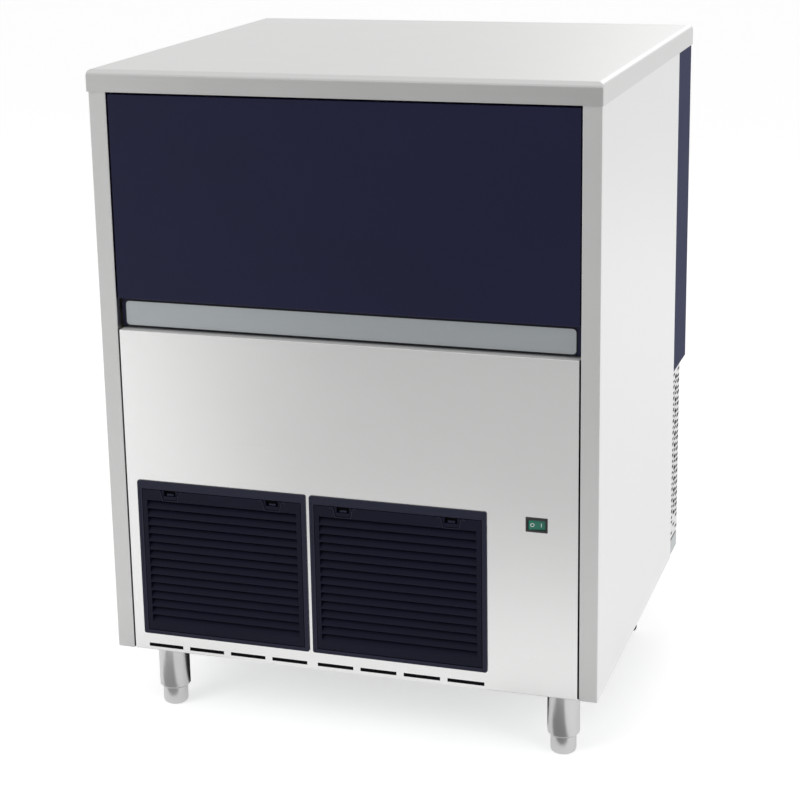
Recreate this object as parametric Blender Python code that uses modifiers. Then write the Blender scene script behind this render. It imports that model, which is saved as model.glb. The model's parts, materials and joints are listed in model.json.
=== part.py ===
"""Under-counter flake ice machine with a built-in bin.

Metres, +Z up, front towards -Y. The origin is on the floor, under the middle
of the machine. Each function below makes one group of pieces.
"""
import math

import bmesh
import bpy
from mathutils import Matrix, Vector

# Whole machine
WIDTH = 0.738                 # over the top panel
DEPTH = 0.690                 # over the top panel
BODY_HEIGHT = 0.870           # underside of the cabinet to the top
LEG_HEIGHT = 0.110            # feet screwed right in
GAP = 0.0003                  # between pieces that touch
CUT_CLEAR = 0.010             # how far a cutting shape reaches past what it cuts
SUNK = 0.001                  # how far one joined shape reaches into the other

# Top panel
TOP_LIP = 0.0314
TOP_SHEET = 0.0012
TOP_ROUND = 0.008
TOP_CORNER_SHARE = 0.25       # upright corners, as a share of the top rounding
TOP_ROUND_STEPS = 4
TOP_FRONT_OVERHANG = 0.003
TOP_SIDE_OVERHANG = 0.002
TOP_REAR_OVERHANG = 0.002

# Side panels, whose front returns are the posts
SHEET = 0.001
POST_WIDTH = 0.0265
POST_RETURN = 0.014
FOLD_RADIUS = 0.0015

# Lower front panel
FRONT_PANEL_HEIGHT = 0.4945
FRONT_PANEL_GAP = 0.002
FRONT_PANEL_RETURN = 0.012
FRONT_PANEL_ROUND = 0.001

# Row of slots along the foot of the front panel
SLOT_HEIGHT = 0.0055
SLOT_RISE = 0.0080            # slot centre above the cabinet's underside
SLOTS_PER_GROUP = 4           # one group under each grille
SLOT_BETWEEN = 0.011
SLOT_INSET = 0.0062           # grille's left edge to the first slot

# Grilles
GRILLE_LEFT_MARGIN = 0.01875  # left post to the left grille
GRILLE_RIGHT_MARGIN = 0.13175 # right grille to the right post
GRILLE_BETWEEN = 0.0055
GRILLE_HEIGHT = 0.241
GRILLE_RISE = 0.027
GRILLE_FLANGE = 0.002
GRILLE_FLANGE_WIDTH = 0.003   # how far the flange laps over the panel
GRILLE_FRAME_ROUND = 0.003
GRILLE_FRAME_SIDE = 0.007
GRILLE_FRAME_TOP = 0.0125
GRILLE_FRAME_BOTTOM = 0.0057
GRILLE_FRAME_DEPTH = 0.018
GRILLE_STEP = 0.0006          # inner half of the frame's face, set back
GRILLE_STEP_WIDTH = 0.0035
GRILLE_PANEL_GAP = 0.0008
GRILLE_PANEL_DEPTH = 0.010
GRILLE_PANEL_SET_BACK = 0.0006
GRILLE_FOOT_WIDTH = 0.012
GRILLE_FOOT_DEPTH = 0.004
GRILLE_FOOT_SPREAD = 0.085
GRILLE_BOTTOM_GAP = 0.0014

# Louvres
LOUVRE_COUNT = 15
LOUVRE_PITCH = 0.01287
LOUVRE_SLIT = 0.0032
LOUVRE_LIP = 0.0014
LOUVRE_SLOPE_DEPTH = 0.0065
LOUVRE_SIDE_MARGIN = 0.0068
LOUVRE_TOP_MARGIN = 0.0180    # top of the panel to the middle of the first slit

# Finger clips at the top of each grille
CLIP_SPREAD = 0.080
CLIP_RECESS_WIDTH = 0.019
CLIP_RECESS_HEIGHT = 0.0083
CLIP_RECESS_DEPTH = 0.006
CLIP_TOP_HALF = 0.0145        # groove round each clip, at the panel's top
CLIP_BOTTOM_HALF = 0.011
CLIP_DROP = 0.0145
CLIP_GROOVE = 0.0011
CLIP_GROOVE_DEPTH = 0.001

# Rocker switch
SWITCH_INSET = 0.0605         # right post to the switch's middle
SWITCH_RISE = 0.2555
SWITCH_WIDTH = 0.031
SWITCH_HEIGHT = 0.021
SWITCH_FLANGE = 0.0012
SWITCH_BODY_LAP = 0.0018
SWITCH_BODY_DEPTH = 0.022
ROCKER_HALF_LENGTH = 0.0118
ROCKER_HALF_HEIGHT = 0.0070
ROCKER_PIVOT_DEPTH = 0.005
ROCKER_THROW_DEG = 7.0        # each side of the middle
ROCKER_SIDE_ROOM = 0.001
ROCKER_BACK_ROOM = 0.0045
ROCKER_RISE = 0.0008          # rocker's ends, level, in front of the panel
ROCKER_DISH = 0.0012          # hollow between the ends
ROCKER_SKIRT = 0.001          # rocker's back edge in front of the pivot
ROCKER_HUB = 0.003

# Feet
FOOT_INSET = 0.062
FOOT_TUBE_RADIUS = 0.0235
FOOT_TUBE_WALL = 0.002
FOOT_TUBE_CHAMFER = 0.003
FOOT_NUT_HEIGHT = 0.018
FOOT_STEM_RADIUS = 0.014
FOOT_STEM_REACH = 0.058
FOOT_RADIUS = 0.019
FOOT_VISIBLE = 0.028
FOOT_ROUND = 0.006
FOOT_ROUND_STEPS = 3
FOOT_SIDES = 20

# Rear covers
UPPER_COVER_DEPTH = 0.110     # how far it stands behind the side panels
LOWER_COVER_SET_BACK = 0.045  # its rear face in front of the upper cover's
LOWER_COVER_LAP = 0.013       # inside the side panels
COVER_FOOT_RISE = 0.030
COVER_SPLIT_RISE = 0.321      # where the upper cover starts
COVER_SHEET = 0.001
VENT_LENGTH = 0.016
VENT_HEIGHT = 0.0045
VENT_PITCH = 0.0196
VENT_COLUMN_PITCH = 0.0205
VENT_MARGIN = 0.008
REAR_VENT_COLUMNS = 3
REAR_VENT_MARGIN = 0.101      # side panel to the first slot
REAR_VENT_BETWEEN = 0.040

# Base chassis and what carries the bin
CHASSIS_SHEET = 0.0015
CHASSIS_LIP = 0.026
SUPPORT_FLANGE = 0.028
SUPPORT_INSET = 0.003
BULKHEAD_SHEET = 0.001
SHELF_DEPTH = 0.098

# Bin
BIN_BASE_RISE = 0.3225        # underside of the foam above the cabinet's underside
FOAM_BELOW = 0.035
FOAM_BEHIND = 0.049
LINER_WALL = 0.003
LINER_ROUND = 0.012
LINER_SIDE_INSET = 0.0460     # outside of the liner from the cabinet's side
LINER_FLANGE = 0.012
LINER_FLANGE_BAR = 0.025
LINER_TOP_DROP = 0.0865       # top of the liner under the cabinet's top
LINER_REAR_ROOM = 0.165       # liner's rear wall to the upper cover's rear face
SILL_HEIGHT = 0.0195
TOP_BOARD_DROP = 0.0235
TOP_BOARD_SIDE_INSET = 0.012
TOP_BOARD_FRONT_INSET = 0.0145

# Door
DOOR_RECESS = 0.0015
DOOR_THICKNESS = 0.028
DOOR_SIDE_GAP = 0.0015
DOOR_TOP_GAP = 0.0031
DOOR_BOTTOM_GAP = 0.003
DOOR_GRIP_HEIGHT = 0.0465      # front panel's top to the foot of the door's face
DOOR_GRIP_DEPTH = 0.0125
DOOR_GRIP_ROUND = 0.004
DOOR_ROUND_STEPS = 4
DOOR_EDGE_ROUND = 0.0015
STRIP_HEIGHT = 0.0375
STRIP_RISE = 0.004            # above the front panel
STRIP_END_INSET = 0.0065
STRIP_THICKNESS = 0.0025
STRIP_ROUND = 0.006

# Door rollers and tracks
PIVOT_DEPTH = 0.020           # door's face to the pivot
PIVOT_DROP = 0.0305           # door's top edge to the pivot
AXLE_RADIUS = 0.004
AXLE_SUNK = 0.004             # into the door's edge
ROLLER_RADIUS = 0.0065
ROLLER_LENGTH = 0.009
ROLLER_END_ROOM = 0.001
TRACK_ROOM = 0.0004
TRACK_REAR_LAND = 0.040
DOOR_LEFT_OUT = 0.0091        # of the raised door, once it is pushed back on its rollers

# Condenser and fan
CONDENSER_SIDE_INSET = 0.03025 # inside the outer edges of the grilles
CONDENSER_HEIGHT = 0.245
CONDENSER_DEPTH = 0.042
CONDENSER_SET_BACK = 0.024
CONDENSER_PLATE = 0.002
FIN_PITCH = 0.018
FIN_GROOVE = 0.010
FIN_GROOVE_DEPTH = 0.008
BEND_COUNT = 2
BEND_STEPS = 6
BEND_PITCH = 0.110
BEND_RADIUS = 0.018
BEND_TUBE_RADIUS = 0.0045
SHROUD_DEPTH = 0.036
SHROUD_WALL = 0.002
SHROUD_ROUND = 0.003
FAN_RADIUS = 0.098
FAN_TIP_ROOM = 0.004
FAN_BLADES = 5
FAN_BLADE_THICKNESS = 0.002
FAN_BLADE_WIDTH = 0.052
FAN_BLADE_PITCH_DEG = 28.0
FAN_HUB_RADIUS = 0.026
FAN_HUB_DEPTH = 0.022
FAN_HUB_EDGE = 0.003
FAN_SET_BACK = 0.014          # shroud's rear plate to the fan's hub
FAN_SHAFT_RADIUS = 0.004
FAN_SHAFT_SEAT = 0.020        # depth of the shaft's hole in the motor
FAN_SHAFT_END_ROOM = 0.002
FAN_MOTOR_RADIUS = 0.034
FAN_MOTOR_LENGTH = 0.052
FAN_MOTOR_GAP = 0.004
FAN_MOTOR_EDGE = 0.004
FAN_MOTOR_CAP = 0.008
FAN_RING_WALL = 0.004
FAN_RING_LENGTH = 0.012
FAN_ARM_WIDTH = 0.010
FAN_ARM_SHEET = 0.003
FAN_ARM_REACH = 0.120

# Compressor
COMPRESSOR_SIDE_ROOM = 0.176  # its middle to the side panel
COMPRESSOR_REAR_ROOM = 0.238  # its middle to the lower cover
COMPRESSOR_RADIUS = 0.080
COMPRESSOR_HEIGHT = 0.195
BRACKET_LENGTH = 0.210
BRACKET_WIDTH = 0.150
BRACKET_PLATE = 0.003
BRACKET_BUSH_RADIUS = 0.011
BRACKET_BUSH_HEIGHT = 0.018
BRACKET_BUSH_INSET = 0.016
BRACKET_BUSH_TOP = 0.004      # above the plate
COMPRESSOR_DOME = 0.050
COMPRESSOR_BASE = 0.045
COMPRESSOR_DOME_STEPS = 5
COMPRESSOR_SIDES = 20
WELD_RISE = 0.095             # welded seam round the shell, above its base
WELD_HEIGHT = 0.006
WELD_REACH = 0.004
TERMINAL_RISE = 0.121
TERMINAL_BOX = 0.050
TERMINAL_BOX_DEPTH = 0.028

# Pipes
DISCHARGE_RADIUS = 0.004
LIQUID_RADIUS = 0.0032
SUCTION_RADIUS = 0.0055
PIPE_BEND = 0.010
PIPE_STEPS = 2                # facets in a bend
PIPE_DROP = 0.030             # discharge pipe under the foam
PIPE_HOLE_ROOM = 0.0015
DISCHARGE_PORT_DEG = 200.0
DISCHARGE_PORT_RISE = 0.1365  # above the compressor's base
DISCHARGE_TURN = 0.085        # behind the condenser
DISCHARGE_SIDE_ROOM = 0.014   # beside the condenser
CONDENSER_PORT_INSET = 0.012
LIQUID_PIPE_OFFSET = 0.040    # from the barrel's jacket
LIQUID_TURN = 0.045           # behind the condenser's middle
LIQUID_ENTRY = 0.055          # above the barrel's foot
SUCTION_PIPE_OFFSET = 0.075
SUCTION_EXIT = 0.055          # below the barrel's top
SUCTION_DROP = 0.048          # suction pipe under the foam
SUCTION_PORT_RISE = 0.121
SUCTION_BEND = 0.012
DRIER_SIDE_ROOM = 0.036       # its middle to the side panel
DRIER_SET_BACK = 0.192        # front of the cabinet to the drier
DRIER_RISE = 0.100
DRIER_RADIUS = 0.014
DRIER_LENGTH = 0.110

# Freezing barrel, auger and drive
BARREL_X = 0.0
BARREL_REAR_ROOM = 0.060      # its centre to the upper cover's rear face
GEARBOX_WIDTH = 0.115
GEARBOX_DEPTH = 0.092
GEARBOX_HEIGHT = 0.070
GEAR_MOTOR_RADIUS = 0.040
GEAR_MOTOR_LENGTH = 0.125
GEAR_MOTOR_CAP = 0.010
GEAR_MOTOR_NECK = 0.012
GEAR_MOTOR_SUNK = 0.004       # into the gearbox
GEARBOX_ROUND = 0.006
DRIVE_SIDES = 24
BARREL_BORE = 0.032
BARREL_WALL = 0.0035
BARREL_HEIGHT = 0.275
BARREL_FLANGE = 0.044
BARREL_FLANGE_THICKNESS = 0.008
JACKET_WALL = 0.013
JACKET_TOP_ROOM = 0.004
AUGER_SHAFT_RADIUS = 0.010
AUGER_ROOM = 0.0015           # flight to the barrel's wall
AUGER_FLIGHT = 0.004
AUGER_PITCH = 0.042
AUGER_TURNS = 5
AUGER_STEPS = 12
AUGER_START = 0.012           # above the barrel's foot
AUGER_ROOT = 0.002            # flight sunk into the shaft
AUGER_TOP_ROOM = 0.004        # under the head's top
AUGER_SIDES = 16
AUGER_SOCKET = 0.018
HEAD_RADIUS = 0.043
HEAD_WALL = 0.008
HEAD_HEIGHT = 0.062
HEAD_CAP = 0.014
HEAD_EDGE = 0.004

# Ice chute
CHUTE_WIDTH = 0.058
CHUTE_HEIGHT = 0.046
CHUTE_LENGTH = 0.088
CHUTE_WALL = 0.0025
CHUTE_SLOPE_DEG = 20.0
CHUTE_ROOM = 0.0005
CHUTE_RISE = 0.020            # chute's middle above the head's foot
CHUTE_SHIFT = 0.004           # towards the head

# Water reservoir and float
TANK_SIDE_ROOM = 0.161        # its middle to the side panel
TANK_WIDTH = 0.120
TANK_DEPTH = 0.088
TANK_HEIGHT = 0.095
TANK_RISE = 0.560
TANK_WALL = 0.0025
TANK_LID = 0.003
TANK_ROUND = 0.003
TANK_LID_ROUND = 0.001
TANK_SPIGOT_RADIUS = 0.006
TANK_SPIGOT_BORE = 0.004
TANK_SPIGOT_LENGTH = 0.014
TANK_SPIGOT_INSET = 0.020
FEED_ENTRY = 0.030            # hose above the barrel's foot
FEED_BEND = 0.020
FLOAT_LENGTH = 0.044
FLOAT_WIDTH = 0.042
FLOAT_HEIGHT = 0.022
FLOAT_ARM_LENGTH = 0.034
FLOAT_ARM_THICKNESS = 0.004
FLOAT_DROOP_DEG = 22.0
FLOAT_PIN_RADIUS = 0.002
FLOAT_PIVOT_INSET = 0.018
FLOAT_PIVOT_DROP = 0.022
FLOAT_ROUND = 0.004
FLOAT_PIN_REACH = 0.006       # past each side of the lug
FLOAT_ARM_ROOM = 0.0008       # between the arm and the lug
FLOAT_ARM_TAIL = 0.003
FLOAT_ARM_SUNK = 0.006        # into the float
VALVE_WIDTH = 0.016
VALVE_LUG = 0.007
VALVE_RISE = 0.016
VALVE_PIVOT_ROOM = 0.006      # valve's underside above the pivot
VALVE_LUG_HALF = 0.005

# Electrical box and services
CONTROL_WIDTH = 0.100
CONTROL_DEPTH = 0.115
CONTROL_HEIGHT = 0.260
CONTROL_SET_BACK = 0.030
CONTROL_ROUND = 0.003
DRAIN_SIDE_ROOM = 0.101       # drain's middle to the liner's side
DRAIN_REAR_ROOM = 0.078       # and to its rear wall
DRAIN_FLANGE_RADIUS = 0.020
DRAIN_FLANGE_THICKNESS = 0.002
DRAIN_TAIL_RADIUS = 0.010
DRAIN_BORE = 0.0075
DRAIN_TAIL_LENGTH = 0.022     # below the foam
DRAIN_HOSE_TURN_RISE = 0.080  # above the outlet
DRAIN_HOSE_TURN_BACK = 0.060
DRAIN_HOSE_BEND = 0.025
SERVICE_RISE = 0.055          # fittings above the cabinet's underside
OUTLET_SIDE_ROOM = 0.076      # to the left side panel
INLET_SIDE_ROOM = 0.066       # to the right side panel
GLAND_SPACING = 0.070         # inlet to cable gland
SUPPLY_RADIUS = 0.004
FITTING_RADIUS = 0.013
FITTING_BORE = 0.008
FITTING_INSIDE = 0.024
FITTING_OUTSIDE = 0.016
FITTING_COLLAR = 0.018
FITTING_COLLAR_THICKNESS = 0.003
FITTING_SIDES = 16
SUPPLY_PLUG = 0.005
SUPPLY_RISE_INSET = 0.014     # pipe behind the fitting's inner end
SUPPLY_OVER = 0.050           # pipe above the reservoir
SENSOR_SPACING = 0.110        # barrel's centre to the sensor tube
SENSOR_RADIUS = 0.006
SENSOR_BORE = 0.004
SENSOR_LENGTH = 0.150
SENSOR_DROP = 0.020           # below the liner's top

# Worked out from the sizes above
BASE_Z = LEG_HEIGHT
TOP_Z = LEG_HEIGHT + BODY_HEIGHT
LIP_Z = TOP_Z - TOP_LIP
FRONT_Y = -DEPTH / 2 + TOP_FRONT_OVERHANG
REAR_Y = DEPTH / 2 - TOP_REAR_OVERHANG
SIDE_X = WIDTH / 2 - TOP_SIDE_OVERHANG
SIDE_INNER_X = SIDE_X - SHEET
PANEL_TOP_Z = TOP_Z - TOP_ROUND - GAP
POST_INNER_X = SIDE_X - POST_WIDTH
SIDE_REAR_Y = REAR_Y - UPPER_COVER_DEPTH
FRONT_TOP_Z = BASE_Z + FRONT_PANEL_HEIGHT
LOWER_REAR_Y = REAR_Y - LOWER_COVER_SET_BACK
GRILLE_WIDTH = (2 * POST_INNER_X - GRILLE_LEFT_MARGIN - GRILLE_RIGHT_MARGIN - GRILLE_BETWEEN) / 2
GRILLE_SPACING = GRILLE_WIDTH + GRILLE_BETWEEN
GRILLE_MIDDLE = -POST_INNER_X + GRILLE_LEFT_MARGIN + GRILLE_WIDTH + GRILLE_BETWEEN / 2
SLOT_PITCH = GRILLE_WIDTH / SLOTS_PER_GROUP
SLOT_LENGTH = SLOT_PITCH - SLOT_BETWEEN
SWITCH_X = POST_INNER_X - SWITCH_INSET
CONDENSER_WIDTH = 2 * GRILLE_WIDTH + GRILLE_BETWEEN - 2 * CONDENSER_SIDE_INSET
REAR_VENT_SPAN = 2 * (SIDE_INNER_X - REAR_VENT_MARGIN)
REAR_VENT_LENGTH = (REAR_VENT_SPAN - (REAR_VENT_COLUMNS - 1) * REAR_VENT_BETWEEN) / REAR_VENT_COLUMNS
REAR_VENT_COLUMN_PITCH = REAR_VENT_LENGTH + REAR_VENT_BETWEEN
COMPRESSOR_X = SIDE_INNER_X - COMPRESSOR_SIDE_ROOM
COMPRESSOR_Y = LOWER_REAR_Y - COMPRESSOR_REAR_ROOM
DRIER_X = DRIER_SIDE_ROOM - SIDE_INNER_X
DRIER_Y = FRONT_Y + DRIER_SET_BACK
TANK_X = SIDE_INNER_X - TANK_SIDE_ROOM
OUTLET_X = OUTLET_SIDE_ROOM - SIDE_INNER_X
INLET_X = SIDE_INNER_X - INLET_SIDE_ROOM
GLAND_X = INLET_X - GLAND_SPACING
SPLIT_Z = BASE_Z + COVER_SPLIT_RISE
FOAM_Z = BASE_Z + BIN_BASE_RISE
LINER_X = SIDE_X - LINER_SIDE_INSET
LINER_Z = FOAM_Z + FOAM_BELOW
LINER_TOP_Z = TOP_Z - LINER_TOP_DROP
LINER_REAR_Y = REAR_Y - LINER_REAR_ROOM
DRAIN_X = DRAIN_SIDE_ROOM - LINER_X
DRAIN_Y = LINER_REAR_Y - DRAIN_REAR_ROOM
DOOR_FACE_Y = FRONT_Y + DOOR_RECESS
DOOR_BACK_Y = DOOR_FACE_Y + DOOR_THICKNESS
FLANGE_Y = DOOR_BACK_Y + GAP
LINER_FRONT_Y = FLANGE_Y + LINER_FLANGE
FOAM_REAR_Y = LINER_REAR_Y + GAP + FOAM_BEHIND
BULKHEAD_Y = FOAM_REAR_Y + GAP
DOOR_TOP_Z = LIP_Z - DOOR_TOP_GAP
DOOR_BOTTOM_Z = FRONT_TOP_Z + DOOR_BOTTOM_GAP
DOOR_X = POST_INNER_X - DOOR_SIDE_GAP
PIVOT_Y = DOOR_FACE_Y + PIVOT_DEPTH
PIVOT_Z = DOOR_TOP_Z - PIVOT_DROP
ROLLER_RUN = PIVOT_Z - DOOR_BOTTOM_Z - DOOR_LEFT_OUT
BOARD_Z = TOP_Z - TOP_BOARD_DROP
BARREL_Y = REAR_Y - BARREL_REAR_ROOM
SENSOR_X = BARREL_X + SENSOR_SPACING
SHELF_Z = FOAM_Z + BULKHEAD_SHEET
GEARBOX_TOP_Z = SHELF_Z + GAP + GEARBOX_HEIGHT
BARREL_Z = GEARBOX_TOP_Z + GAP
HEAD_Z = BARREL_Z + BARREL_HEIGHT + GAP

for old in list(bpy.data.objects):
    bpy.data.objects.remove(old, do_unlink=True)

parts = bpy.data.collections.new("flake_ice_machine")
cutters = bpy.data.collections.new("cutters")
for group in (parts, cutters):
    bpy.context.scene.collection.children.link(group)


def finish(name, colour, roughness, metallic=0.0):
    mat = bpy.data.materials.new(name)
    mat.use_nodes = True
    shader = mat.node_tree.nodes["Principled BSDF"]
    shader.inputs["Base Color"].default_value = (*colour, 1.0)
    shader.inputs["Roughness"].default_value = roughness
    shader.inputs["Metallic"].default_value = metallic
    return mat


STAINLESS = finish("stainless", (0.72, 0.72, 0.71), 0.28, 1.0)
GALVANISED = finish("galvanised", (0.55, 0.57, 0.58), 0.45, 1.0)
NAVY = finish("navy_plastic", (0.018, 0.018, 0.035), 0.42)
BLUE = finish("blue_paint", (0.045, 0.052, 0.125), 0.40)
STRIP = finish("grip_strip", (0.52, 0.55, 0.57), 0.35, 0.6)
BIN = finish("bin_plastic", (0.82, 0.83, 0.83), 0.35)
FOAM = finish("foam", (0.78, 0.70, 0.50), 0.90)
GREY = finish("grey_plastic", (0.45, 0.46, 0.47), 0.50)
BLACK = finish("black_plastic", (0.02, 0.02, 0.02), 0.45)
GREEN = finish("green_lens", (0.02, 0.30, 0.18), 0.20)
COPPER = finish("copper", (0.72, 0.36, 0.22), 0.30, 1.0)
ALUMINIUM = finish("aluminium", (0.66, 0.67, 0.68), 0.40, 1.0)
CAST = finish("cast_iron", (0.06, 0.06, 0.065), 0.55)
RUBBER = finish("rubber", (0.03, 0.03, 0.03), 0.80)
BRASS = finish("brass", (0.70, 0.52, 0.24), 0.35, 1.0)


def place(name, mesh, mat, where=(0.0, 0.0, 0.0)):
    """A part when it has a material, or else a cutter."""
    obj = bpy.data.objects.new(name, mesh)
    obj.location = where
    if mat is None:
        obj.hide_render = True
        obj.display_type = "WIRE"
        cutters.objects.link(obj)
    else:
        mesh.materials.append(mat)
        parts.objects.link(obj)
    return obj


def soften(obj, width, segments=2, angle_deg=40.0):
    bevel = obj.modifiers.new("edges", "BEVEL")
    bevel.width = width
    bevel.segments = segments
    bevel.limit_method = "ANGLE"
    bevel.angle_limit = math.radians(angle_deg)
    bevel.harden_normals = False


def box(name, low, high, mat=None, rounding=0.0, segments=2):
    low, high = Vector(low), Vector(high)
    mesh = bpy.data.meshes.new(name)
    bm = bmesh.new()
    bmesh.ops.create_cube(bm, size=1.0)
    bmesh.ops.scale(bm, vec=high - low, verts=bm.verts)
    bm.to_mesh(mesh)
    bm.free()
    obj = place(name, mesh, mat, (low + high) / 2)
    if rounding:
        soften(obj, rounding, segments)
    return obj


def open_box(name, low, high, open_sides, wall, mat, rounding, segments=3, weight=None):
    """A box without the named sides, given its wall inwards; weight rounds some edges less."""
    low, high = Vector(low), Vector(high)
    mesh = bpy.data.meshes.new(name)
    bm = bmesh.new()
    bmesh.ops.create_cube(bm, size=1.0)
    bmesh.ops.scale(bm, vec=high - low, verts=bm.verts)
    gone = [f for f in bm.faces if any(f.normal.dot(Vector(side)) > 0.9 for side in open_sides)]
    bmesh.ops.delete(bm, geom=gone, context="FACES")
    if weight:
        layer = bm.edges.layers.float.new("bevel_weight_edge")
        for edge in bm.edges:
            along = (edge.verts[0].co - edge.verts[1].co).normalized()
            edge[layer] = weight(along)
    bm.to_mesh(mesh)
    bm.free()
    obj = place(name, mesh, mat, (low + high) / 2)
    soften(obj, rounding, segments)
    if weight:
        obj.modifiers["edges"].limit_method = "WEIGHT"
    solidify(obj, wall, -1.0)
    return obj


def solidify(obj, thickness, offset):
    shell = obj.modifiers.new("wall", "SOLIDIFY")
    shell.thickness = thickness
    shell.offset = offset
    shell.use_even_offset = True


def folded(name, path, start, end, thickness, mat, side, axis="Z", fold=FOLD_RADIUS):
    """A sheet bent along a path, drawn from start to end along the axis."""
    mesh = bpy.data.meshes.new(name)
    bm = bmesh.new()
    rows = []
    for level in (start, end):
        rows.append([bm.verts.new(on_axis(u, v, level, axis)) for u, v in path])
    for i in range(len(path) - 1):
        bm.faces.new((rows[0][i], rows[0][i + 1], rows[1][i + 1], rows[1][i]))
    bm.to_mesh(mesh)
    bm.free()
    obj = place(name, mesh, mat)
    soften(obj, fold, 2)
    solidify(obj, thickness, side)
    return obj


def on_axis(u, v, w, axis):
    """Outline coordinates u and v, and w along the axis, as a point."""
    if axis == "X":
        return (w, u, v)
    if axis == "Y":
        return (u, w, v)
    return (u, v, w)


def prism(name, outlines, start, end, mat=None, axis="Z", where=(0.0, 0.0, 0.0)):
    """Flat outlines, inner ones as holes, filled and given their thickness along the axis."""
    curve = bpy.data.curves.new(name, "CURVE")
    curve.dimensions = "2D"
    curve.fill_mode = "BOTH"
    curve.extrude = abs(end - start) / 2
    for outline in outlines:
        spline = curve.splines.new("POLY")
        spline.points.add(len(outline) - 1)
        for point, (u, v) in zip(spline.points, outline):
            point.co = (u, v, 0.0, 1.0)
        spline.use_cyclic_u = True
    turn = {
        "X": Matrix(((0, 0, 1), (1, 0, 0), (0, 1, 0))),
        "Y": Matrix(((1, 0, 0), (0, 0, -1), (0, 1, 0))),
        "Z": Matrix.Identity(3),
    }[axis].to_4x4()
    middle = Vector(on_axis(0.0, 0.0, (start + end) / 2, axis))
    return solid_from_curve(name, curve, mat, Matrix.Translation(middle) @ turn, where)


def solid_from_curve(name, curve, mat, matrix=Matrix.Identity(4), where=(0.0, 0.0, 0.0)):
    """The curve's own mesh, welded shut and facing out."""
    drawn = bpy.data.objects.new(name + "_curve", curve)
    cutters.objects.link(drawn)
    graph = bpy.context.evaluated_depsgraph_get()
    mesh = bpy.data.meshes.new_from_object(drawn.evaluated_get(graph))
    bpy.data.objects.remove(drawn, do_unlink=True)
    bm = bmesh.new()
    bm.from_mesh(mesh)
    bmesh.ops.remove_doubles(bm, verts=bm.verts, dist=0.00001)
    bmesh.ops.transform(bm, matrix=matrix, verts=bm.verts)
    if len(curve.splines) == 1 and curve.bevel_depth == 0.0:
        bmesh.ops.dissolve_limit(bm, angle_limit=0.001, verts=bm.verts, edges=bm.edges)
    bmesh.ops.recalc_face_normals(bm, faces=bm.faces)
    bm.to_mesh(mesh)
    bm.free()
    mesh.name = name
    mesh.materials.clear()
    return place(name, mesh, mat, where)


def rectangle(cx, cy, width, height, rounding=0.0, steps=4):
    """Corner points of a rectangle, or of one with round corners."""
    if not rounding:
        signs = ((-1, -1), (1, -1), (1, 1), (-1, 1))
        return [(cx + sx * width / 2, cy + sy * height / 2) for sx, sy in signs]
    points = []
    for corner, (sx, sy) in enumerate(((1, 1), (-1, 1), (-1, -1), (1, -1))):
        px = cx + sx * (width / 2 - rounding)
        py = cy + sy * (height / 2 - rounding)
        for step in range(steps + 1):
            angle = math.pi / 2 * (corner + step / steps)
            points.append((px + rounding * math.cos(angle), py + rounding * math.sin(angle)))
    return points


def circle(cx, cy, radius, steps=48):
    turns = [2 * math.pi * i / steps for i in range(steps)]
    return [(cx + radius * math.cos(a), cy + radius * math.sin(a)) for a in turns]


def turned(name, profile, where, mat=None, axis="Z", steps=32, ring=False):
    """A profile of (radius, height) points from the top down, swept round its axis."""
    mesh = bpy.data.meshes.new(name)
    edges = [(i, i + 1) for i in range(len(profile) - 1)]
    if ring:
        edges.append((len(profile) - 1, 0))
    mesh.from_pydata([(r, 0.0, z) for r, z in profile], edges, [])
    obj = place(name, mesh, mat, where)
    screw = obj.modifiers.new("turn", "SCREW")
    screw.steps = steps
    screw.render_steps = steps
    screw.use_merge_vertices = True
    screw.merge_threshold = 0.00001
    if axis == "X":
        obj.rotation_euler = (0.0, math.pi / 2, 0.0)
    elif axis == "Y":
        obj.rotation_euler = (-math.pi / 2, 0.0, 0.0)
    return obj


def rod(name, where, axis, radius, low, high, mat=None, steps=24):
    """A plain round bar between two heights along its axis."""
    return turned(name, [(0.0, high), (radius, high), (radius, low), (0.0, low)], where, mat, axis, steps)


def tube_ring(name, where, axis, outer, inner, low, high, mat=None, steps=24):
    profile = [(inner, high), (outer, high), (outer, low), (inner, low)]
    return turned(name, profile, where, mat, axis, steps, ring=True)


def bent_path(corners, bend, steps=PIPE_STEPS):
    """The corner points with each inner corner replaced by an arc of the bend's radius."""
    points = [Vector(corners[0])]
    for before, here, after in zip(corners, corners[1:], corners[2:]):
        here = Vector(here)
        back = (Vector(before) - here).normalized()
        ahead = (Vector(after) - here).normalized()
        half = back.angle(ahead) / 2
        reach = bend / math.tan(half)
        centre = here + (back + ahead).normalized() * (bend / math.sin(half))
        first = (here + back * reach - centre).normalized()
        last = (here + ahead * reach - centre).normalized()
        for step in range(steps + 1):
            points.append(centre + first.slerp(last, step / steps) * bend)
    points.append(Vector(corners[-1]))
    return points


def pipe(name, points, radius, mat, resolution=2):
    curve = bpy.data.curves.new(name, "CURVE")
    curve.dimensions = "3D"
    curve.bevel_depth = radius
    curve.bevel_resolution = resolution
    curve.use_fill_caps = True
    spline = curve.splines.new("POLY")
    spline.points.add(len(points) - 1)
    for knot, point in zip(spline.points, points):
        knot.co = (*point, 1.0)
    return solid_from_curve(name, curve, mat)


def boolean(target, other, operation):
    step = target.modifiers.new(other.name, "BOOLEAN")
    step.operation = operation
    step.object = other
    step.solver = "EXACT"


def cut(target, *tools):
    for tool in tools:
        boolean(target, tool, "DIFFERENCE")


def join(target, *others):
    for other in others:
        boolean(target, other, "UNION")


def axis_empty(name, where, owner=None):
    """An empty on a joint's axis, which its moving pieces hang from."""
    empty = bpy.data.objects.new(name, None)
    empty.empty_display_size = 0.03
    parts.objects.link(empty)
    empty.location = where
    if owner:
        hang(owner, empty)
    return empty


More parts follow.
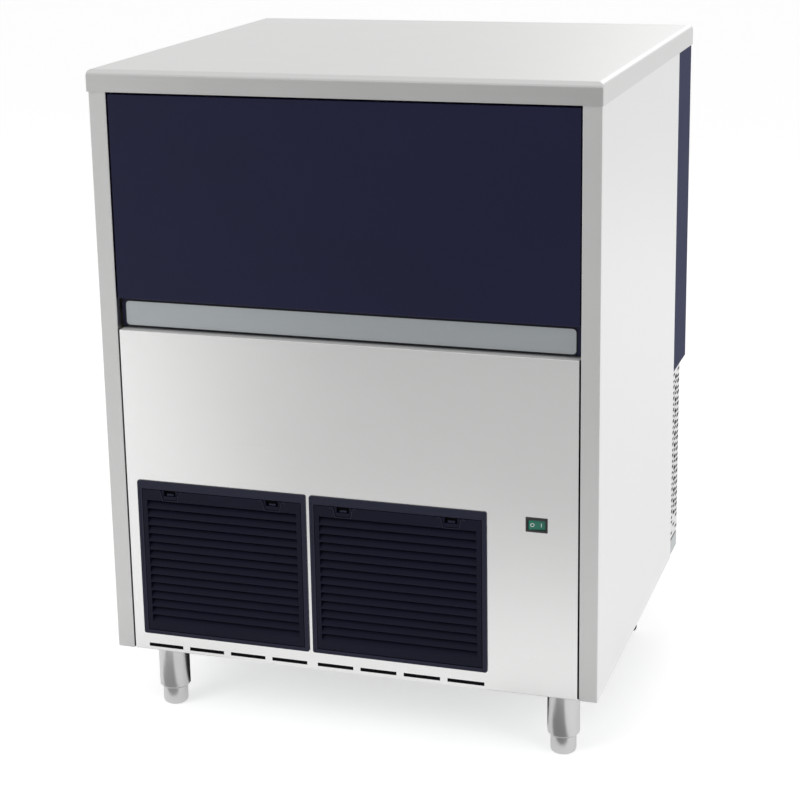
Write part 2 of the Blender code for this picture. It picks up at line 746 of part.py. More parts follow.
def hang(owner, *pieces):
    for piece in pieces:
        piece.parent = owner
        piece.location = Vector(piece.location) - world_place(owner)


def world_place(obj):
    where = Vector(obj.location)
    while obj.parent:
        obj = obj.parent
        where += Vector(obj.location)
    return where


def build_cabinet():
    """Top panel, side panels and the chassis tray that they stand on."""
    upright = 0.9
    open_box("top_panel", (-WIDTH / 2, -DEPTH / 2, LIP_Z), (WIDTH / 2, DEPTH / 2, TOP_Z), [(0, 0, -1)],
             TOP_SHEET, STAINLESS, TOP_ROUND, TOP_ROUND_STEPS,
             weight=lambda along: TOP_CORNER_SHARE if abs(along.z) > upright else 1.0)
    for name, hand in (("side_panel_left", -1), ("side_panel_right", 1)):
        path = [(hand * SIDE_X, SIDE_REAR_Y), (hand * SIDE_X, FRONT_Y), (hand * POST_INNER_X, FRONT_Y),
                (hand * POST_INNER_X, FRONT_Y + POST_RETURN)]
        folded(name, path, BASE_Z, PANEL_TOP_Z, SHEET, STAINLESS, side=hand)
    chassis_x = SIDE_INNER_X - GAP
    chassis_front = FRONT_Y + POST_RETURN + GAP
    open_box("base_chassis", (-chassis_x, chassis_front, BASE_Z),
             (chassis_x, LOWER_REAR_Y - COVER_SHEET - GAP, BASE_Z + CHASSIS_LIP), [(0, 0, 1)],
             CHASSIS_SHEET, GALVANISED, FOLD_RADIUS, 2)
    top_x = SIDE_X - TOP_BOARD_SIDE_INSET
    box("top_foam_board", (-top_x, FRONT_Y + TOP_BOARD_FRONT_INSET, BOARD_Z),
        (top_x, FOAM_REAR_Y, TOP_Z - TOP_SHEET - GAP), FOAM)


def build_front_panel():
    """Lower front panel with its openings and the row of slots at its foot."""
    half = POST_INNER_X - FRONT_PANEL_GAP
    panel = open_box("lower_front_panel", (-half, FRONT_Y, BASE_Z),
                     (half, FRONT_Y + FRONT_PANEL_RETURN, FRONT_TOP_Z), [(0, 1, 0)],
                     SHEET, STAINLESS, FRONT_PANEL_ROUND, 2)
    near, far = FRONT_Y - CUT_CLEAR, FRONT_Y + CUT_CLEAR
    slots = []
    for hand in (-1, 1):
        left = grille_centre(hand)[0] - GRILLE_WIDTH / 2 + SLOT_INSET
        for i in range(SLOTS_PER_GROUP):
            middle = left + SLOT_LENGTH / 2 + i * SLOT_PITCH
            slots.append(rectangle(middle, BASE_Z + SLOT_RISE, SLOT_LENGTH, SLOT_HEIGHT))
    cut(panel, prism("slot_cutter", slots, near, far, axis="Y"))
    openings = []
    for hand in (-1, 1):
        cx, cz = grille_centre(hand)
        openings.append(rectangle(cx, cz, neck_width() + 2 * GAP, neck_height() + 2 * GAP))
    switch_z = BASE_Z + SWITCH_RISE
    openings.append(rectangle(SWITCH_X, switch_z, SWITCH_WIDTH - 2 * SWITCH_BODY_LAP + 2 * GAP,
                              SWITCH_HEIGHT - 2 * SWITCH_BODY_LAP + 2 * GAP))
    cut(panel, prism("opening_cutter", openings, near, far, axis="Y"))


def grille_centre(hand):
    return GRILLE_MIDDLE + hand * GRILLE_SPACING / 2, BASE_Z + GRILLE_RISE + GRILLE_HEIGHT / 2


def neck_width():
    return GRILLE_WIDTH - 2 * GRILLE_FLANGE_WIDTH


def neck_height():
    return GRILLE_HEIGHT - 2 * GRILLE_FLANGE_WIDTH


def build_grille(label, hand):
    """One intake grille: a fixed frame and the louvred panel that tips out of it."""
    cx, cz = grille_centre(hand)
    bottom = cz - GRILLE_HEIGHT / 2
    hole_low = bottom + GRILLE_FRAME_BOTTOM
    hole_high = bottom + GRILLE_HEIGHT - GRILLE_FRAME_TOP
    hole_width = GRILLE_WIDTH - 2 * GRILLE_FRAME_SIDE
    hole = rectangle(cx, (hole_low + hole_high) / 2, hole_width, hole_high - hole_low)
    face_y = FRONT_Y - GAP - GRILLE_FLANGE
    flange = rectangle(cx, cz, GRILLE_WIDTH, GRILLE_HEIGHT, GRILLE_FRAME_ROUND)
    frame = prism("grille_frame_" + label, [flange, hole], face_y, face_y + GRILLE_FLANGE, NAVY, axis="Y")
    neck = rectangle(cx, cz, neck_width(), neck_height())
    join(frame, prism("grille_neck_" + label, [neck, hole], face_y + GRILLE_FLANGE / 2,
                      face_y + GRILLE_FRAME_DEPTH, axis="Y"))
    step = rectangle(cx, (hole_low + hole_high) / 2, hole_width + 2 * GRILLE_STEP_WIDTH,
                     hole_high - hole_low + 2 * GRILLE_STEP_WIDTH)
    cut(frame, prism("border_step_" + label, [step], face_y - CUT_CLEAR, face_y + GRILLE_STEP, axis="Y"))

    panel_width = hole_width - 2 * GRILLE_PANEL_GAP
    panel_low = hole_low + GRILLE_BOTTOM_GAP
    panel_high = hole_high - GRILLE_PANEL_GAP
    panel_y = face_y + GRILLE_PANEL_SET_BACK
    hinge = axis_empty("grille_axis_" + label, (cx, panel_y, panel_low))
    panel = box("grille_panel_" + label, (cx - panel_width / 2, panel_y, panel_low),
                (cx + panel_width / 2, panel_y + GRILLE_PANEL_DEPTH, panel_high), NAVY)
    back_y = panel_y + GRILLE_PANEL_DEPTH
    for side in (-1, 1):
        foot_x = cx + side * GRILLE_FOOT_SPREAD
        join(panel, box("grille_foot", (foot_x - GRILLE_FOOT_WIDTH / 2, back_y - GRILLE_FOOT_DEPTH,
                                        hole_low + GAP),
                        (foot_x + GRILLE_FOOT_WIDTH / 2, back_y - GAP, panel_low + SUNK)))
    wedges = []
    for i in range(LOUVRE_COUNT):
        slit = panel_high - LOUVRE_TOP_MARGIN - i * LOUVRE_PITCH
        over, under = slit + LOUVRE_SLIT / 2, slit - LOUVRE_SLIT / 2
        edge = over - LOUVRE_PITCH + LOUVRE_LIP
        wedges.append([(panel_y - CUT_CLEAR, over), (panel_y - CUT_CLEAR, edge), (panel_y, edge),
                       (panel_y + LOUVRE_SLOPE_DEPTH, under), (back_y + CUT_CLEAR, under),
                       (back_y + CUT_CLEAR, over)])
    reach = panel_width / 2 - LOUVRE_SIDE_MARGIN
    cut(panel, prism("louvre_cutter_" + label, wedges, cx - reach, cx + reach, axis="X"))
    for side in (-1, 1):
        clip_x = cx + side * CLIP_SPREAD
        cut(panel, box("clip_cutter", (clip_x - CLIP_RECESS_WIDTH / 2, panel_y - CUT_CLEAR,
                                       panel_high - CLIP_RECESS_HEIGHT),
                       (clip_x + CLIP_RECESS_WIDTH / 2, panel_y + CLIP_RECESS_DEPTH, panel_high + CUT_CLEAR)))
        cut(panel, prism("clip_groove", [clip_groove(clip_x, panel_high)], panel_y - CUT_CLEAR,
                         panel_y + CLIP_GROOVE_DEPTH, axis="Y"))
    hang(hinge, panel)


def clip_groove(x, top):
    """Outline of the narrow U that is cut round a clip, open at the panel's top edge."""
    wide, narrow, low, over = CLIP_TOP_HALF, CLIP_BOTTOM_HALF, top - CLIP_DROP, top + CUT_CLEAR
    inner = [(wide - CLIP_GROOVE, over), (wide - CLIP_GROOVE, top), (narrow - CLIP_GROOVE, low + CLIP_GROOVE)]
    outer = [(narrow, low), (wide, top), (wide, over)]
    right = inner + outer
    left = [(-u, v) for u, v in reversed(right)]
    return [(x + u, v) for u, v in left[:3] + right[3:] + right[:3] + left[3:]]


def build_switch():
    """Rocker switch in the front panel, standing in its on position."""
    z = BASE_Z + SWITCH_RISE
    face_y = FRONT_Y - GAP - SWITCH_FLANGE
    housing = box("switch_housing", (SWITCH_X - SWITCH_WIDTH / 2, face_y, z - SWITCH_HEIGHT / 2),
                  (SWITCH_X + SWITCH_WIDTH / 2, face_y + SWITCH_FLANGE, z + SWITCH_HEIGHT / 2), BLACK)
    half_w = SWITCH_WIDTH / 2 - SWITCH_BODY_LAP
    half_h = SWITCH_HEIGHT / 2 - SWITCH_BODY_LAP
    join(housing, box("switch_body", (SWITCH_X - half_w, face_y + SWITCH_FLANGE / 2, z - half_h),
                      (SWITCH_X + half_w, FRONT_Y + SWITCH_BODY_DEPTH, z + half_h)))
    pivot_y = FRONT_Y + ROCKER_PIVOT_DEPTH
    room_x = ROCKER_HALF_LENGTH + ROCKER_SIDE_ROOM
    room_z = ROCKER_HALF_HEIGHT + GAP
    cut(housing, box("switch_cutter", (SWITCH_X - room_x, face_y - CUT_CLEAR, z - room_z),
                     (SWITCH_X + room_x, pivot_y + ROCKER_BACK_ROOM, z + room_z)))
    pivot = axis_empty("rocker_axis", (SWITCH_X, pivot_y, z))
    end, lift, hub = ROCKER_HALF_LENGTH, ROCKER_PIVOT_DEPTH + ROCKER_RISE, ROCKER_HUB
    outline = [(-end, -lift), (0.0, -lift + ROCKER_DISH), (end, -lift), (end, -ROCKER_SKIRT),
               (hub, hub), (-hub, hub), (-end, -ROCKER_SKIRT)]
    throw = math.radians(ROCKER_THROW_DEG)
    tipped = [(u * math.cos(throw) - v * math.sin(throw), u * math.sin(throw) + v * math.cos(throw))
              for u, v in outline]
    rocker = prism("switch_rocker", [tipped], -ROCKER_HALF_HEIGHT, ROCKER_HALF_HEIGHT, GREEN, axis="Z",
                   where=(SWITCH_X, pivot_y, z))
    hang(pivot, rocker)


def build_feet():
    """Four feet: a fixed tube with a threaded end, and the foot that screws out of it."""
    top = BASE_Z - GAP
    for row, y in (("front", FRONT_Y + FOOT_INSET), ("rear", SIDE_REAR_Y - FOOT_INSET)):
        for side, hand in (("left", -1), ("right", 1)):
            x = hand * (SIDE_X - FOOT_INSET)
            label = row + "_" + side
            low = FOOT_VISIBLE + GAP
            bore = FOOT_STEM_RADIUS + GAP
            hollow = FOOT_TUBE_RADIUS - FOOT_TUBE_WALL
            turned("foot_tube_" + label, [
                (hollow, top), (FOOT_TUBE_RADIUS, top), (FOOT_TUBE_RADIUS, low + FOOT_TUBE_CHAMFER),
                (FOOT_TUBE_RADIUS - FOOT_TUBE_CHAMFER, low), (bore, low), (bore, low + FOOT_NUT_HEIGHT),
                (hollow, low + FOOT_NUT_HEIGHT)], (x, y, 0.0), STAINLESS, steps=FOOT_SIDES, ring=True)
            stem_top = FOOT_VISIBLE + FOOT_STEM_REACH
            profile = [(0.0, stem_top), (FOOT_STEM_RADIUS, stem_top), (FOOT_STEM_RADIUS, FOOT_VISIBLE),
                       (FOOT_RADIUS, FOOT_VISIBLE), (FOOT_RADIUS, FOOT_ROUND)]
            for step in range(1, FOOT_ROUND_STEPS + 1):
                angle = math.pi / 2 * step / FOOT_ROUND_STEPS
                profile.append((FOOT_RADIUS - FOOT_ROUND * (1 - math.cos(angle)),
                                FOOT_ROUND * (1 - math.sin(angle))))
            profile.append((0.0, 0.0))
            foot = turned("foot_" + label, profile, (x, y, 0.0), STAINLESS, steps=FOOT_SIDES)
            hang(axis_empty("foot_axis_" + label, (x, y, 0.0)), foot)


def build_bin():
    """Bin liner with its front flange, foam jacket and sill."""
    liner = open_box("bin_liner", (-LINER_X, LINER_FRONT_Y, LINER_Z), (LINER_X, LINER_REAR_Y, LINER_TOP_Z),
                     [(0, 0, 1)], LINER_WALL, BIN, LINER_ROUND, 2)
    sill_low = FRONT_TOP_Z - SILL_HEIGHT
    inner_x = LINER_X - LINER_WALL
    mouth = box("mouth_cutter", (-inner_x + LINER_ROUND, LINER_FRONT_Y - CUT_CLEAR, FRONT_TOP_Z),
                (inner_x - LINER_ROUND, LINER_FRONT_Y + LINER_WALL + LINER_ROUND, LINER_TOP_Z + CUT_CLEAR))
    cut(liner, mouth)
    bar_low = sill_low - GAP - LINER_FLANGE_BAR
    out_x, in_x = DOOR_X, inner_x - LINER_ROUND
    u_shape = [(-out_x, bar_low), (out_x, bar_low), (out_x, LINER_TOP_Z), (in_x, LINER_TOP_Z),
               (in_x, bar_low + LINER_FLANGE_BAR), (-in_x, bar_low + LINER_FLANGE_BAR),
               (-in_x, LINER_TOP_Z), (-out_x, LINER_TOP_Z)]
    join(liner, prism("liner_flange", [u_shape], FLANGE_Y, LINER_FRONT_Y + LINER_WALL / 2, axis="Y"))
    jacket_x = SIDE_INNER_X - GAP
    jacket_front = FRONT_Y + FRONT_PANEL_RETURN + GAP
    foam = box("bin_foam", (-jacket_x, jacket_front, FOAM_Z), (jacket_x, FOAM_REAR_Y, BOARD_Z - GAP), FOAM)
    cut(foam, box("liner_room", (-LINER_X - GAP, LINER_FRONT_Y - GAP, LINER_Z - GAP),
                  (LINER_X + GAP, LINER_REAR_Y + GAP, TOP_Z)))
    cut(foam, box("front_room", (-WIDTH, jacket_front - CUT_CLEAR, bar_low - GAP),
                  (WIDTH, LINER_FRONT_Y + LINER_WALL / 2 + GAP, TOP_Z)))
    cut(foam, box("door_room", (-WIDTH, jacket_front, LINER_TOP_Z), (WIDTH, LINER_REAR_Y, TOP_Z)))
    post_x, post_rear = POST_INNER_X - SHEET, FRONT_Y + POST_RETURN + GAP
    for ends in ((post_x, WIDTH), (-WIDTH, -post_x)):
        cut(foam, box("post_room", (ends[0], jacket_front - CUT_CLEAR, FOAM_Z - CUT_CLEAR),
                      (ends[1], post_rear, TOP_Z)))
    sill = box("bin_sill", (-DOOR_X, FRONT_Y + FRONT_PANEL_RETURN + GAP, sill_low),
               (DOOR_X, FLANGE_Y - GAP, FRONT_TOP_Z), GREY)
    join(sill, box("sill_tongue", (-in_x + GAP, FLANGE_Y - GAP - SUNK, sill_low),
                   (in_x - GAP, LINER_FRONT_Y - GAP, FRONT_TOP_Z)))
    return liner, foam


def build_supports():
    """Side supports under the bin, and the bulkhead behind it with the shelf for the drive."""
    floor_z = BASE_Z + CHASSIS_SHEET + GAP
    front = FRONT_Y + POST_RETURN + CHASSIS_SHEET + 2 * GAP
    rear = SIDE_REAR_Y - LOWER_COVER_LAP - GAP
    for name, hand in (("bin_support_left", -1), ("bin_support_right", 1)):
        x = hand * (SIDE_INNER_X - SUPPORT_INSET)
        path = [(x, floor_z), (x, FOAM_Z - GAP), (x - hand * SUPPORT_FLANGE, FOAM_Z - GAP)]
        folded(name, path, front, rear, SHEET, GALVANISED, side=hand, axis="Y")
    shelf_rear = BULKHEAD_Y + SHELF_DEPTH
    bulk_x = SIDE_INNER_X - GAP
    path = [(BULKHEAD_Y, TOP_Z - TOP_ROUND), (BULKHEAD_Y, FOAM_Z), (shelf_rear, FOAM_Z)]
    return folded("rear_bulkhead", path, -bulk_x, bulk_x, BULKHEAD_SHEET, GALVANISED, side=-1.0, axis="X")


def build_rear_covers():
    """Deep upper cover and the slotted lower cover under it."""
    upper = [(-SIDE_X, SIDE_REAR_Y + GAP), (-SIDE_X, REAR_Y), (SIDE_X, REAR_Y), (SIDE_X, SIDE_REAR_Y + GAP)]
    folded("upper_rear_cover", upper, SPLIT_Z, PANEL_TOP_Z, COVER_SHEET, BLUE, side=1.0)
    x = SIDE_INNER_X - GAP
    front = SIDE_REAR_Y - LOWER_COVER_LAP
    low, high = BASE_Z + COVER_FOOT_RISE, SPLIT_Z - GAP
    lower = [(-x, front), (-x, LOWER_REAR_Y), (x, LOWER_REAR_Y), (x, front)]
    cover = folded("lower_rear_cover", lower, low, high, COVER_SHEET, STAINLESS, side=1.0)
    rows = int((high - low - 2 * VENT_MARGIN) / VENT_PITCH) + 1
    first = (low + high) / 2 - (rows - 1) * VENT_PITCH / 2
    start = SIDE_REAR_Y + (LOWER_REAR_Y - SIDE_REAR_Y) / 2
    side_vents = []
    for row in range(rows):
        for column in (-1, 0, 1):
            z = first + row * VENT_PITCH + (VENT_PITCH / 2 if column == 0 else 0.0)
            if z + VENT_HEIGHT / 2 < high - VENT_MARGIN / 2:
                across = start + column * VENT_COLUMN_PITCH
                side_vents.append(rectangle(across, z, VENT_LENGTH, VENT_HEIGHT))
    cut(cover, prism("side_vent_cutter", side_vents, -SIDE_X, SIDE_X, axis="X"))
    rear_vents = []
    for row in range(rows // 2, rows):
        for column in range(REAR_VENT_COLUMNS):
            cx = (column - (REAR_VENT_COLUMNS - 1) / 2) * REAR_VENT_COLUMN_PITCH
            rear_vents.append(rectangle(cx, first + row * VENT_PITCH, REAR_VENT_LENGTH, VENT_HEIGHT))
    near, far = LOWER_REAR_Y - CUT_CLEAR, LOWER_REAR_Y + CUT_CLEAR
    cut(cover, prism("rear_vent_cutter", rear_vents, near, far, axis="Y"))
    holes = [circle(px, BASE_Z + SERVICE_RISE, FITTING_RADIUS + GAP, FITTING_SIDES)
             for px in (OUTLET_X, INLET_X, GLAND_X)]
    cut(cover, prism("fitting_cutter", holes, near, far, axis="Y"))


def build_door():
    """Door moulding and grip strip, and the rollers that it turns up on, at the front of the tracks."""
    pivot = axis_empty("door_axis", (0.0, PIVOT_Y, PIVOT_Z))
    face_low = FRONT_TOP_Z + DOOR_GRIP_HEIGHT
    grip_y = DOOR_FACE_Y + DOOR_GRIP_DEPTH
    outline = [(DOOR_FACE_Y, DOOR_TOP_Z), (DOOR_BACK_Y, DOOR_TOP_Z), (DOOR_BACK_Y, DOOR_BOTTOM_Z),
               (grip_y, DOOR_BOTTOM_Z)]
    for step in range(DOOR_ROUND_STEPS + 1):
        angle = math.pi / 2 * step / DOOR_ROUND_STEPS
        outline.append((grip_y - DOOR_GRIP_ROUND * (1 - math.cos(angle)),
                        face_low - DOOR_GRIP_ROUND * (1 - math.sin(angle))))
    outline.append((DOOR_FACE_Y, face_low))
    door = prism("door_panel", [outline], -DOOR_X, DOOR_X, NAVY, axis="X")
    soften(door, DOOR_EDGE_ROUND, 2, 60.0)
    strip_x = DOOR_X - STRIP_END_INSET
    strip_z = FRONT_TOP_Z + STRIP_RISE + STRIP_HEIGHT / 2
    bed = STRIP_THICKNESS / 2
    room = rectangle(0.0, strip_z, 2 * (strip_x + GAP), STRIP_HEIGHT + 2 * GAP, STRIP_ROUND + GAP)
    cut(door, prism("strip_bed", [room], grip_y - CUT_CLEAR, grip_y + bed + GAP, axis="Y"))
    strip = prism("door_grip_strip", [rectangle(0.0, strip_z, 2 * strip_x, STRIP_HEIGHT, STRIP_ROUND)],
                  grip_y + bed - STRIP_THICKNESS, grip_y + bed, STRIP, axis="Y")
    for side, hand in (("left", -1), ("right", 1)):
        first = DOOR_X + DOOR_SIDE_GAP + ROLLER_END_ROOM
        ends = sorted((hand * (DOOR_X - AXLE_SUNK), hand * (first + ROLLER_LENGTH)))
        join(door, rod("door_axle_" + side, (0.0, PIVOT_Y, PIVOT_Z), "X", AXLE_RADIUS, *ends, steps=16))
        ends = sorted((hand * first, hand * (first + ROLLER_LENGTH)))
        roller = tube_ring("door_roller_" + side, (0.0, PIVOT_Y, PIVOT_Z), "X", ROLLER_RADIUS,
                           AXLE_RADIUS + GAP, *ends, GREY, 20)
        hang(pivot, roller)
        build_track(side, hand)
    hang(pivot, door, strip)


def build_track(side, hand):
    """Plastic side strip above the liner, with the groove that a roller runs in."""
    near_x = POST_INNER_X + GAP
    far_x = SIDE_INNER_X - GAP
    front = FRONT_Y + POST_RETURN + GAP
    rear = PIVOT_Y + ROLLER_RUN + TRACK_REAR_LAND
    low, high = LINER_TOP_Z + GAP, BOARD_Z - GAP
    track = box("door_track_" + side, (min(hand * near_x, hand * far_x), front, low),
                (max(hand * near_x, hand * far_x), rear, high), BIN)
    half = ROLLER_RADIUS + TRACK_ROOM
    reach = hand * (DOOR_X + DOOR_SIDE_GAP + 2 * ROLLER_END_ROOM + ROLLER_LENGTH)
    inner = hand * (near_x - CUT_CLEAR)
    cut(track, box("groove_" + side, (min(inner, reach), PIVOT_Y - half, PIVOT_Z - half),
                   (max(inner, reach), PIVOT_Y + ROLLER_RUN + half, PIVOT_Z + half)))


def build_cooling():
    """Condenser behind the grilles, and the fan that draws air through it."""
    cx = GRILLE_MIDDLE
    cz = grille_centre(1)[1]
    front = FRONT_Y + CONDENSER_SET_BACK
    back = front + CONDENSER_DEPTH
    half = CONDENSER_WIDTH / 2
    low, high = BASE_Z + CHASSIS_SHEET + GAP, cz + CONDENSER_HEIGHT / 2
    count = int((CONDENSER_WIDTH - 2 * CONDENSER_PLATE) / FIN_PITCH)
    start = cx - (count - 1) * FIN_PITCH / 2
    condenser = box("condenser", (cx - half, front, low), (cx + half, back, high), ALUMINIUM)
    gaps = [rectangle(start + i * FIN_PITCH, y, FIN_GROOVE, 2 * FIN_GROOVE_DEPTH)
            for i in range(count) for y in (front, back)]
    cut(condenser, prism("fin_gap_cutter", gaps, low - CUT_CLEAR, high + CUT_CLEAR, axis="Z"))
    bend_y = (front + back) / 2
    for hand in (-1, 1):
        for i in range(BEND_COUNT):
            z = cz + (i - (BEND_COUNT - 1) / 2) * BEND_PITCH
            x = cx + hand * (half - 2 * BEND_TUBE_RADIUS)
            loop = [(x, bend_y, z - BEND_RADIUS)]
            for step in range(BEND_STEPS + 1):
                angle = math.pi * (step / BEND_STEPS - 0.5)
                out = half + BEND_TUBE_RADIUS + BEND_RADIUS * math.cos(angle)
                loop.append((cx + hand * out, bend_y, z + BEND_RADIUS * math.sin(angle)))
            loop.append((x, bend_y, z + BEND_RADIUS))
            join(condenser, pipe("condenser_bend", loop, BEND_TUBE_RADIUS, None))

    plate_y = back + GAP + SHROUD_DEPTH
    shroud = open_box("fan_shroud", (cx - half, back + GAP, low), (cx + half, plate_y, high), [(0, -1, 0)],
                      SHROUD_WALL, BLACK, SHROUD_ROUND, 2)
    throat = FAN_RADIUS + FAN_TIP_ROOM
    cut(shroud, rod("throat", (cx, plate_y, cz), "Y", throat, -CUT_CLEAR, CUT_CLEAR, steps=32))
    hub_y = plate_y - FAN_SET_BACK
    motor_front = hub_y + FAN_HUB_DEPTH + FAN_MOTOR_GAP
    arm_y = motor_front + FAN_MOTOR_LENGTH / 2
    ring_inner = FAN_MOTOR_RADIUS + GAP
    ring_half = FAN_RING_LENGTH / 2
    join(shroud, tube_ring("motor_ring", (cx, arm_y, cz), "Y", ring_inner + FAN_RING_WALL, ring_inner,
                           -ring_half, ring_half, steps=DRIVE_SIDES))
    arm_low, arm_high = cz - FAN_ARM_WIDTH / 2, cz + FAN_ARM_WIDTH / 2
    arm_rear = arm_y + FAN_ARM_SHEET / 2
    for hand in (-1, 1):
        xs = sorted((cx + hand * (ring_inner + FAN_RING_WALL / 2), cx + hand * FAN_ARM_REACH))
        join(shroud, box("motor_arm", (xs[0], arm_rear - FAN_ARM_SHEET, arm_low),
                         (xs[1], arm_rear, arm_high)))
        xs = sorted((cx + hand * (FAN_ARM_REACH - FAN_ARM_SHEET), cx + hand * FAN_ARM_REACH))
        join(shroud, box("motor_leg", (xs[0], plate_y - SUNK, arm_low), (xs[1], arm_rear, arm_high)))
    bore = FAN_SHAFT_RADIUS + GAP
    turned("fan_motor", [
        (0.0, FAN_MOTOR_LENGTH), (FAN_MOTOR_RADIUS - FAN_MOTOR_CAP, FAN_MOTOR_LENGTH),
        (FAN_MOTOR_RADIUS, FAN_MOTOR_LENGTH - FAN_MOTOR_CAP), (FAN_MOTOR_RADIUS, FAN_MOTOR_EDGE),
        (FAN_MOTOR_RADIUS - FAN_MOTOR_EDGE, 0.0), (bore, 0.0), (bore, FAN_SHAFT_SEAT), (0.0, FAN_SHAFT_SEAT)],
        (cx, motor_front, cz), GREY, "Y", DRIVE_SIDES)
    shaft_end = FAN_HUB_DEPTH + FAN_MOTOR_GAP + FAN_SHAFT_SEAT - FAN_SHAFT_END_ROOM
    fan = turned("fan", [
        (0.0, shaft_end), (FAN_SHAFT_RADIUS, shaft_end), (FAN_SHAFT_RADIUS, FAN_HUB_DEPTH),
        (FAN_HUB_RADIUS, FAN_HUB_DEPTH), (FAN_HUB_RADIUS, FAN_HUB_EDGE), (FAN_HUB_RADIUS - FAN_HUB_EDGE, 0.0),
        (0.0, 0.0)], (cx, hub_y, cz), BLACK, "Y", 20)
    for i in range(FAN_BLADES):
        join(fan, fan_blade(i, (cx, hub_y + FAN_HUB_DEPTH / 2, cz)))
    hang(axis_empty("fan_axis", (cx, hub_y, cz)), fan)


def fan_blade(index, centre):
    """A flat blade with a round tip, set at its pitch and turned to its place round the hub."""
    root, tip = FAN_HUB_RADIUS * 0.8, FAN_RADIUS
    half = FAN_BLADE_WIDTH / 2
    outline = [(root, -half * 0.5), (tip * 0.86, -half), (tip, -half * 0.55), (tip, half * 0.35),
               (tip * 0.92, half), (root, half * 0.5)]
    blade = prism("fan_blade_" + str(index), [outline], -FAN_BLADE_THICKNESS / 2, FAN_BLADE_THICKNESS / 2)
    pitch = Matrix.Rotation(math.radians(90.0 + FAN_BLADE_PITCH_DEG), 4, "X")
    spoke = Matrix.Rotation(2 * math.pi * index / FAN_BLADES, 4, "Y")
    blade.data.transform(spoke @ pitch)
    blade.location = centre
    return blade


def build_compressor():
    """Hermetic compressor on a bracket with four rubber bushes."""
    x, y = COMPRESSOR_X, COMPRESSOR_Y
    floor_z = BASE_Z + CHASSIS_SHEET + GAP
    plate_z = floor_z + BRACKET_BUSH_HEIGHT
    bracket = box("compressor_bracket", (x - BRACKET_LENGTH / 2, y - BRACKET_WIDTH / 2, plate_z),
                  (x + BRACKET_LENGTH / 2, y + BRACKET_WIDTH / 2, plate_z + BRACKET_PLATE), GALVANISED)
    for sx in (-1, 1):
        for sy in (-1, 1):
            where = (x + sx * (BRACKET_LENGTH / 2 - BRACKET_BUSH_INSET),
                     y + sy * (BRACKET_WIDTH / 2 - BRACKET_BUSH_INSET), 0.0)
            join(bracket, rod("bush", where, "Z", BRACKET_BUSH_RADIUS, floor_z,
                              plate_z + BRACKET_PLATE + BRACKET_BUSH_TOP, steps=12))
    seat = plate_z + BRACKET_PLATE + GAP
    top, radius = seat + COMPRESSOR_HEIGHT, COMPRESSOR_RADIUS
    profile = [(0.0, top)]
    quarter = [math.pi / 2 * step / COMPRESSOR_DOME_STEPS for step in range(1, COMPRESSOR_DOME_STEPS + 1)]
    for angle in quarter:
        profile.append((radius * math.sin(angle), top - COMPRESSOR_DOME * (1 - math.cos(angle))))
    weld = seat + WELD_RISE
    profile += [(radius, weld + WELD_HEIGHT / 2 + SUNK), (radius + WELD_REACH, weld + WELD_HEIGHT / 2),
                (radius + WELD_REACH, weld - WELD_HEIGHT / 2), (radius, weld - WELD_HEIGHT / 2 - SUNK),
                (radius, seat + COMPRESSOR_DOME)]
    for angle in quarter:
        profile.append((COMPRESSOR_BASE + (radius - COMPRESSOR_BASE) * math.cos(angle),
                        seat + COMPRESSOR_DOME * (1 - math.sin(angle))))
    profile.append((0.0, seat))
    shell = turned("compressor", profile, (x, y, 0.0), CAST, steps=COMPRESSOR_SIDES)
    half = TERMINAL_BOX / 2
    middle = seat + TERMINAL_RISE
    join(shell, box("terminal_cover", (x - half, y - radius - TERMINAL_BOX_DEPTH, middle - half),
                    (x + half, y - radius / 2, middle + half)))
    return seat


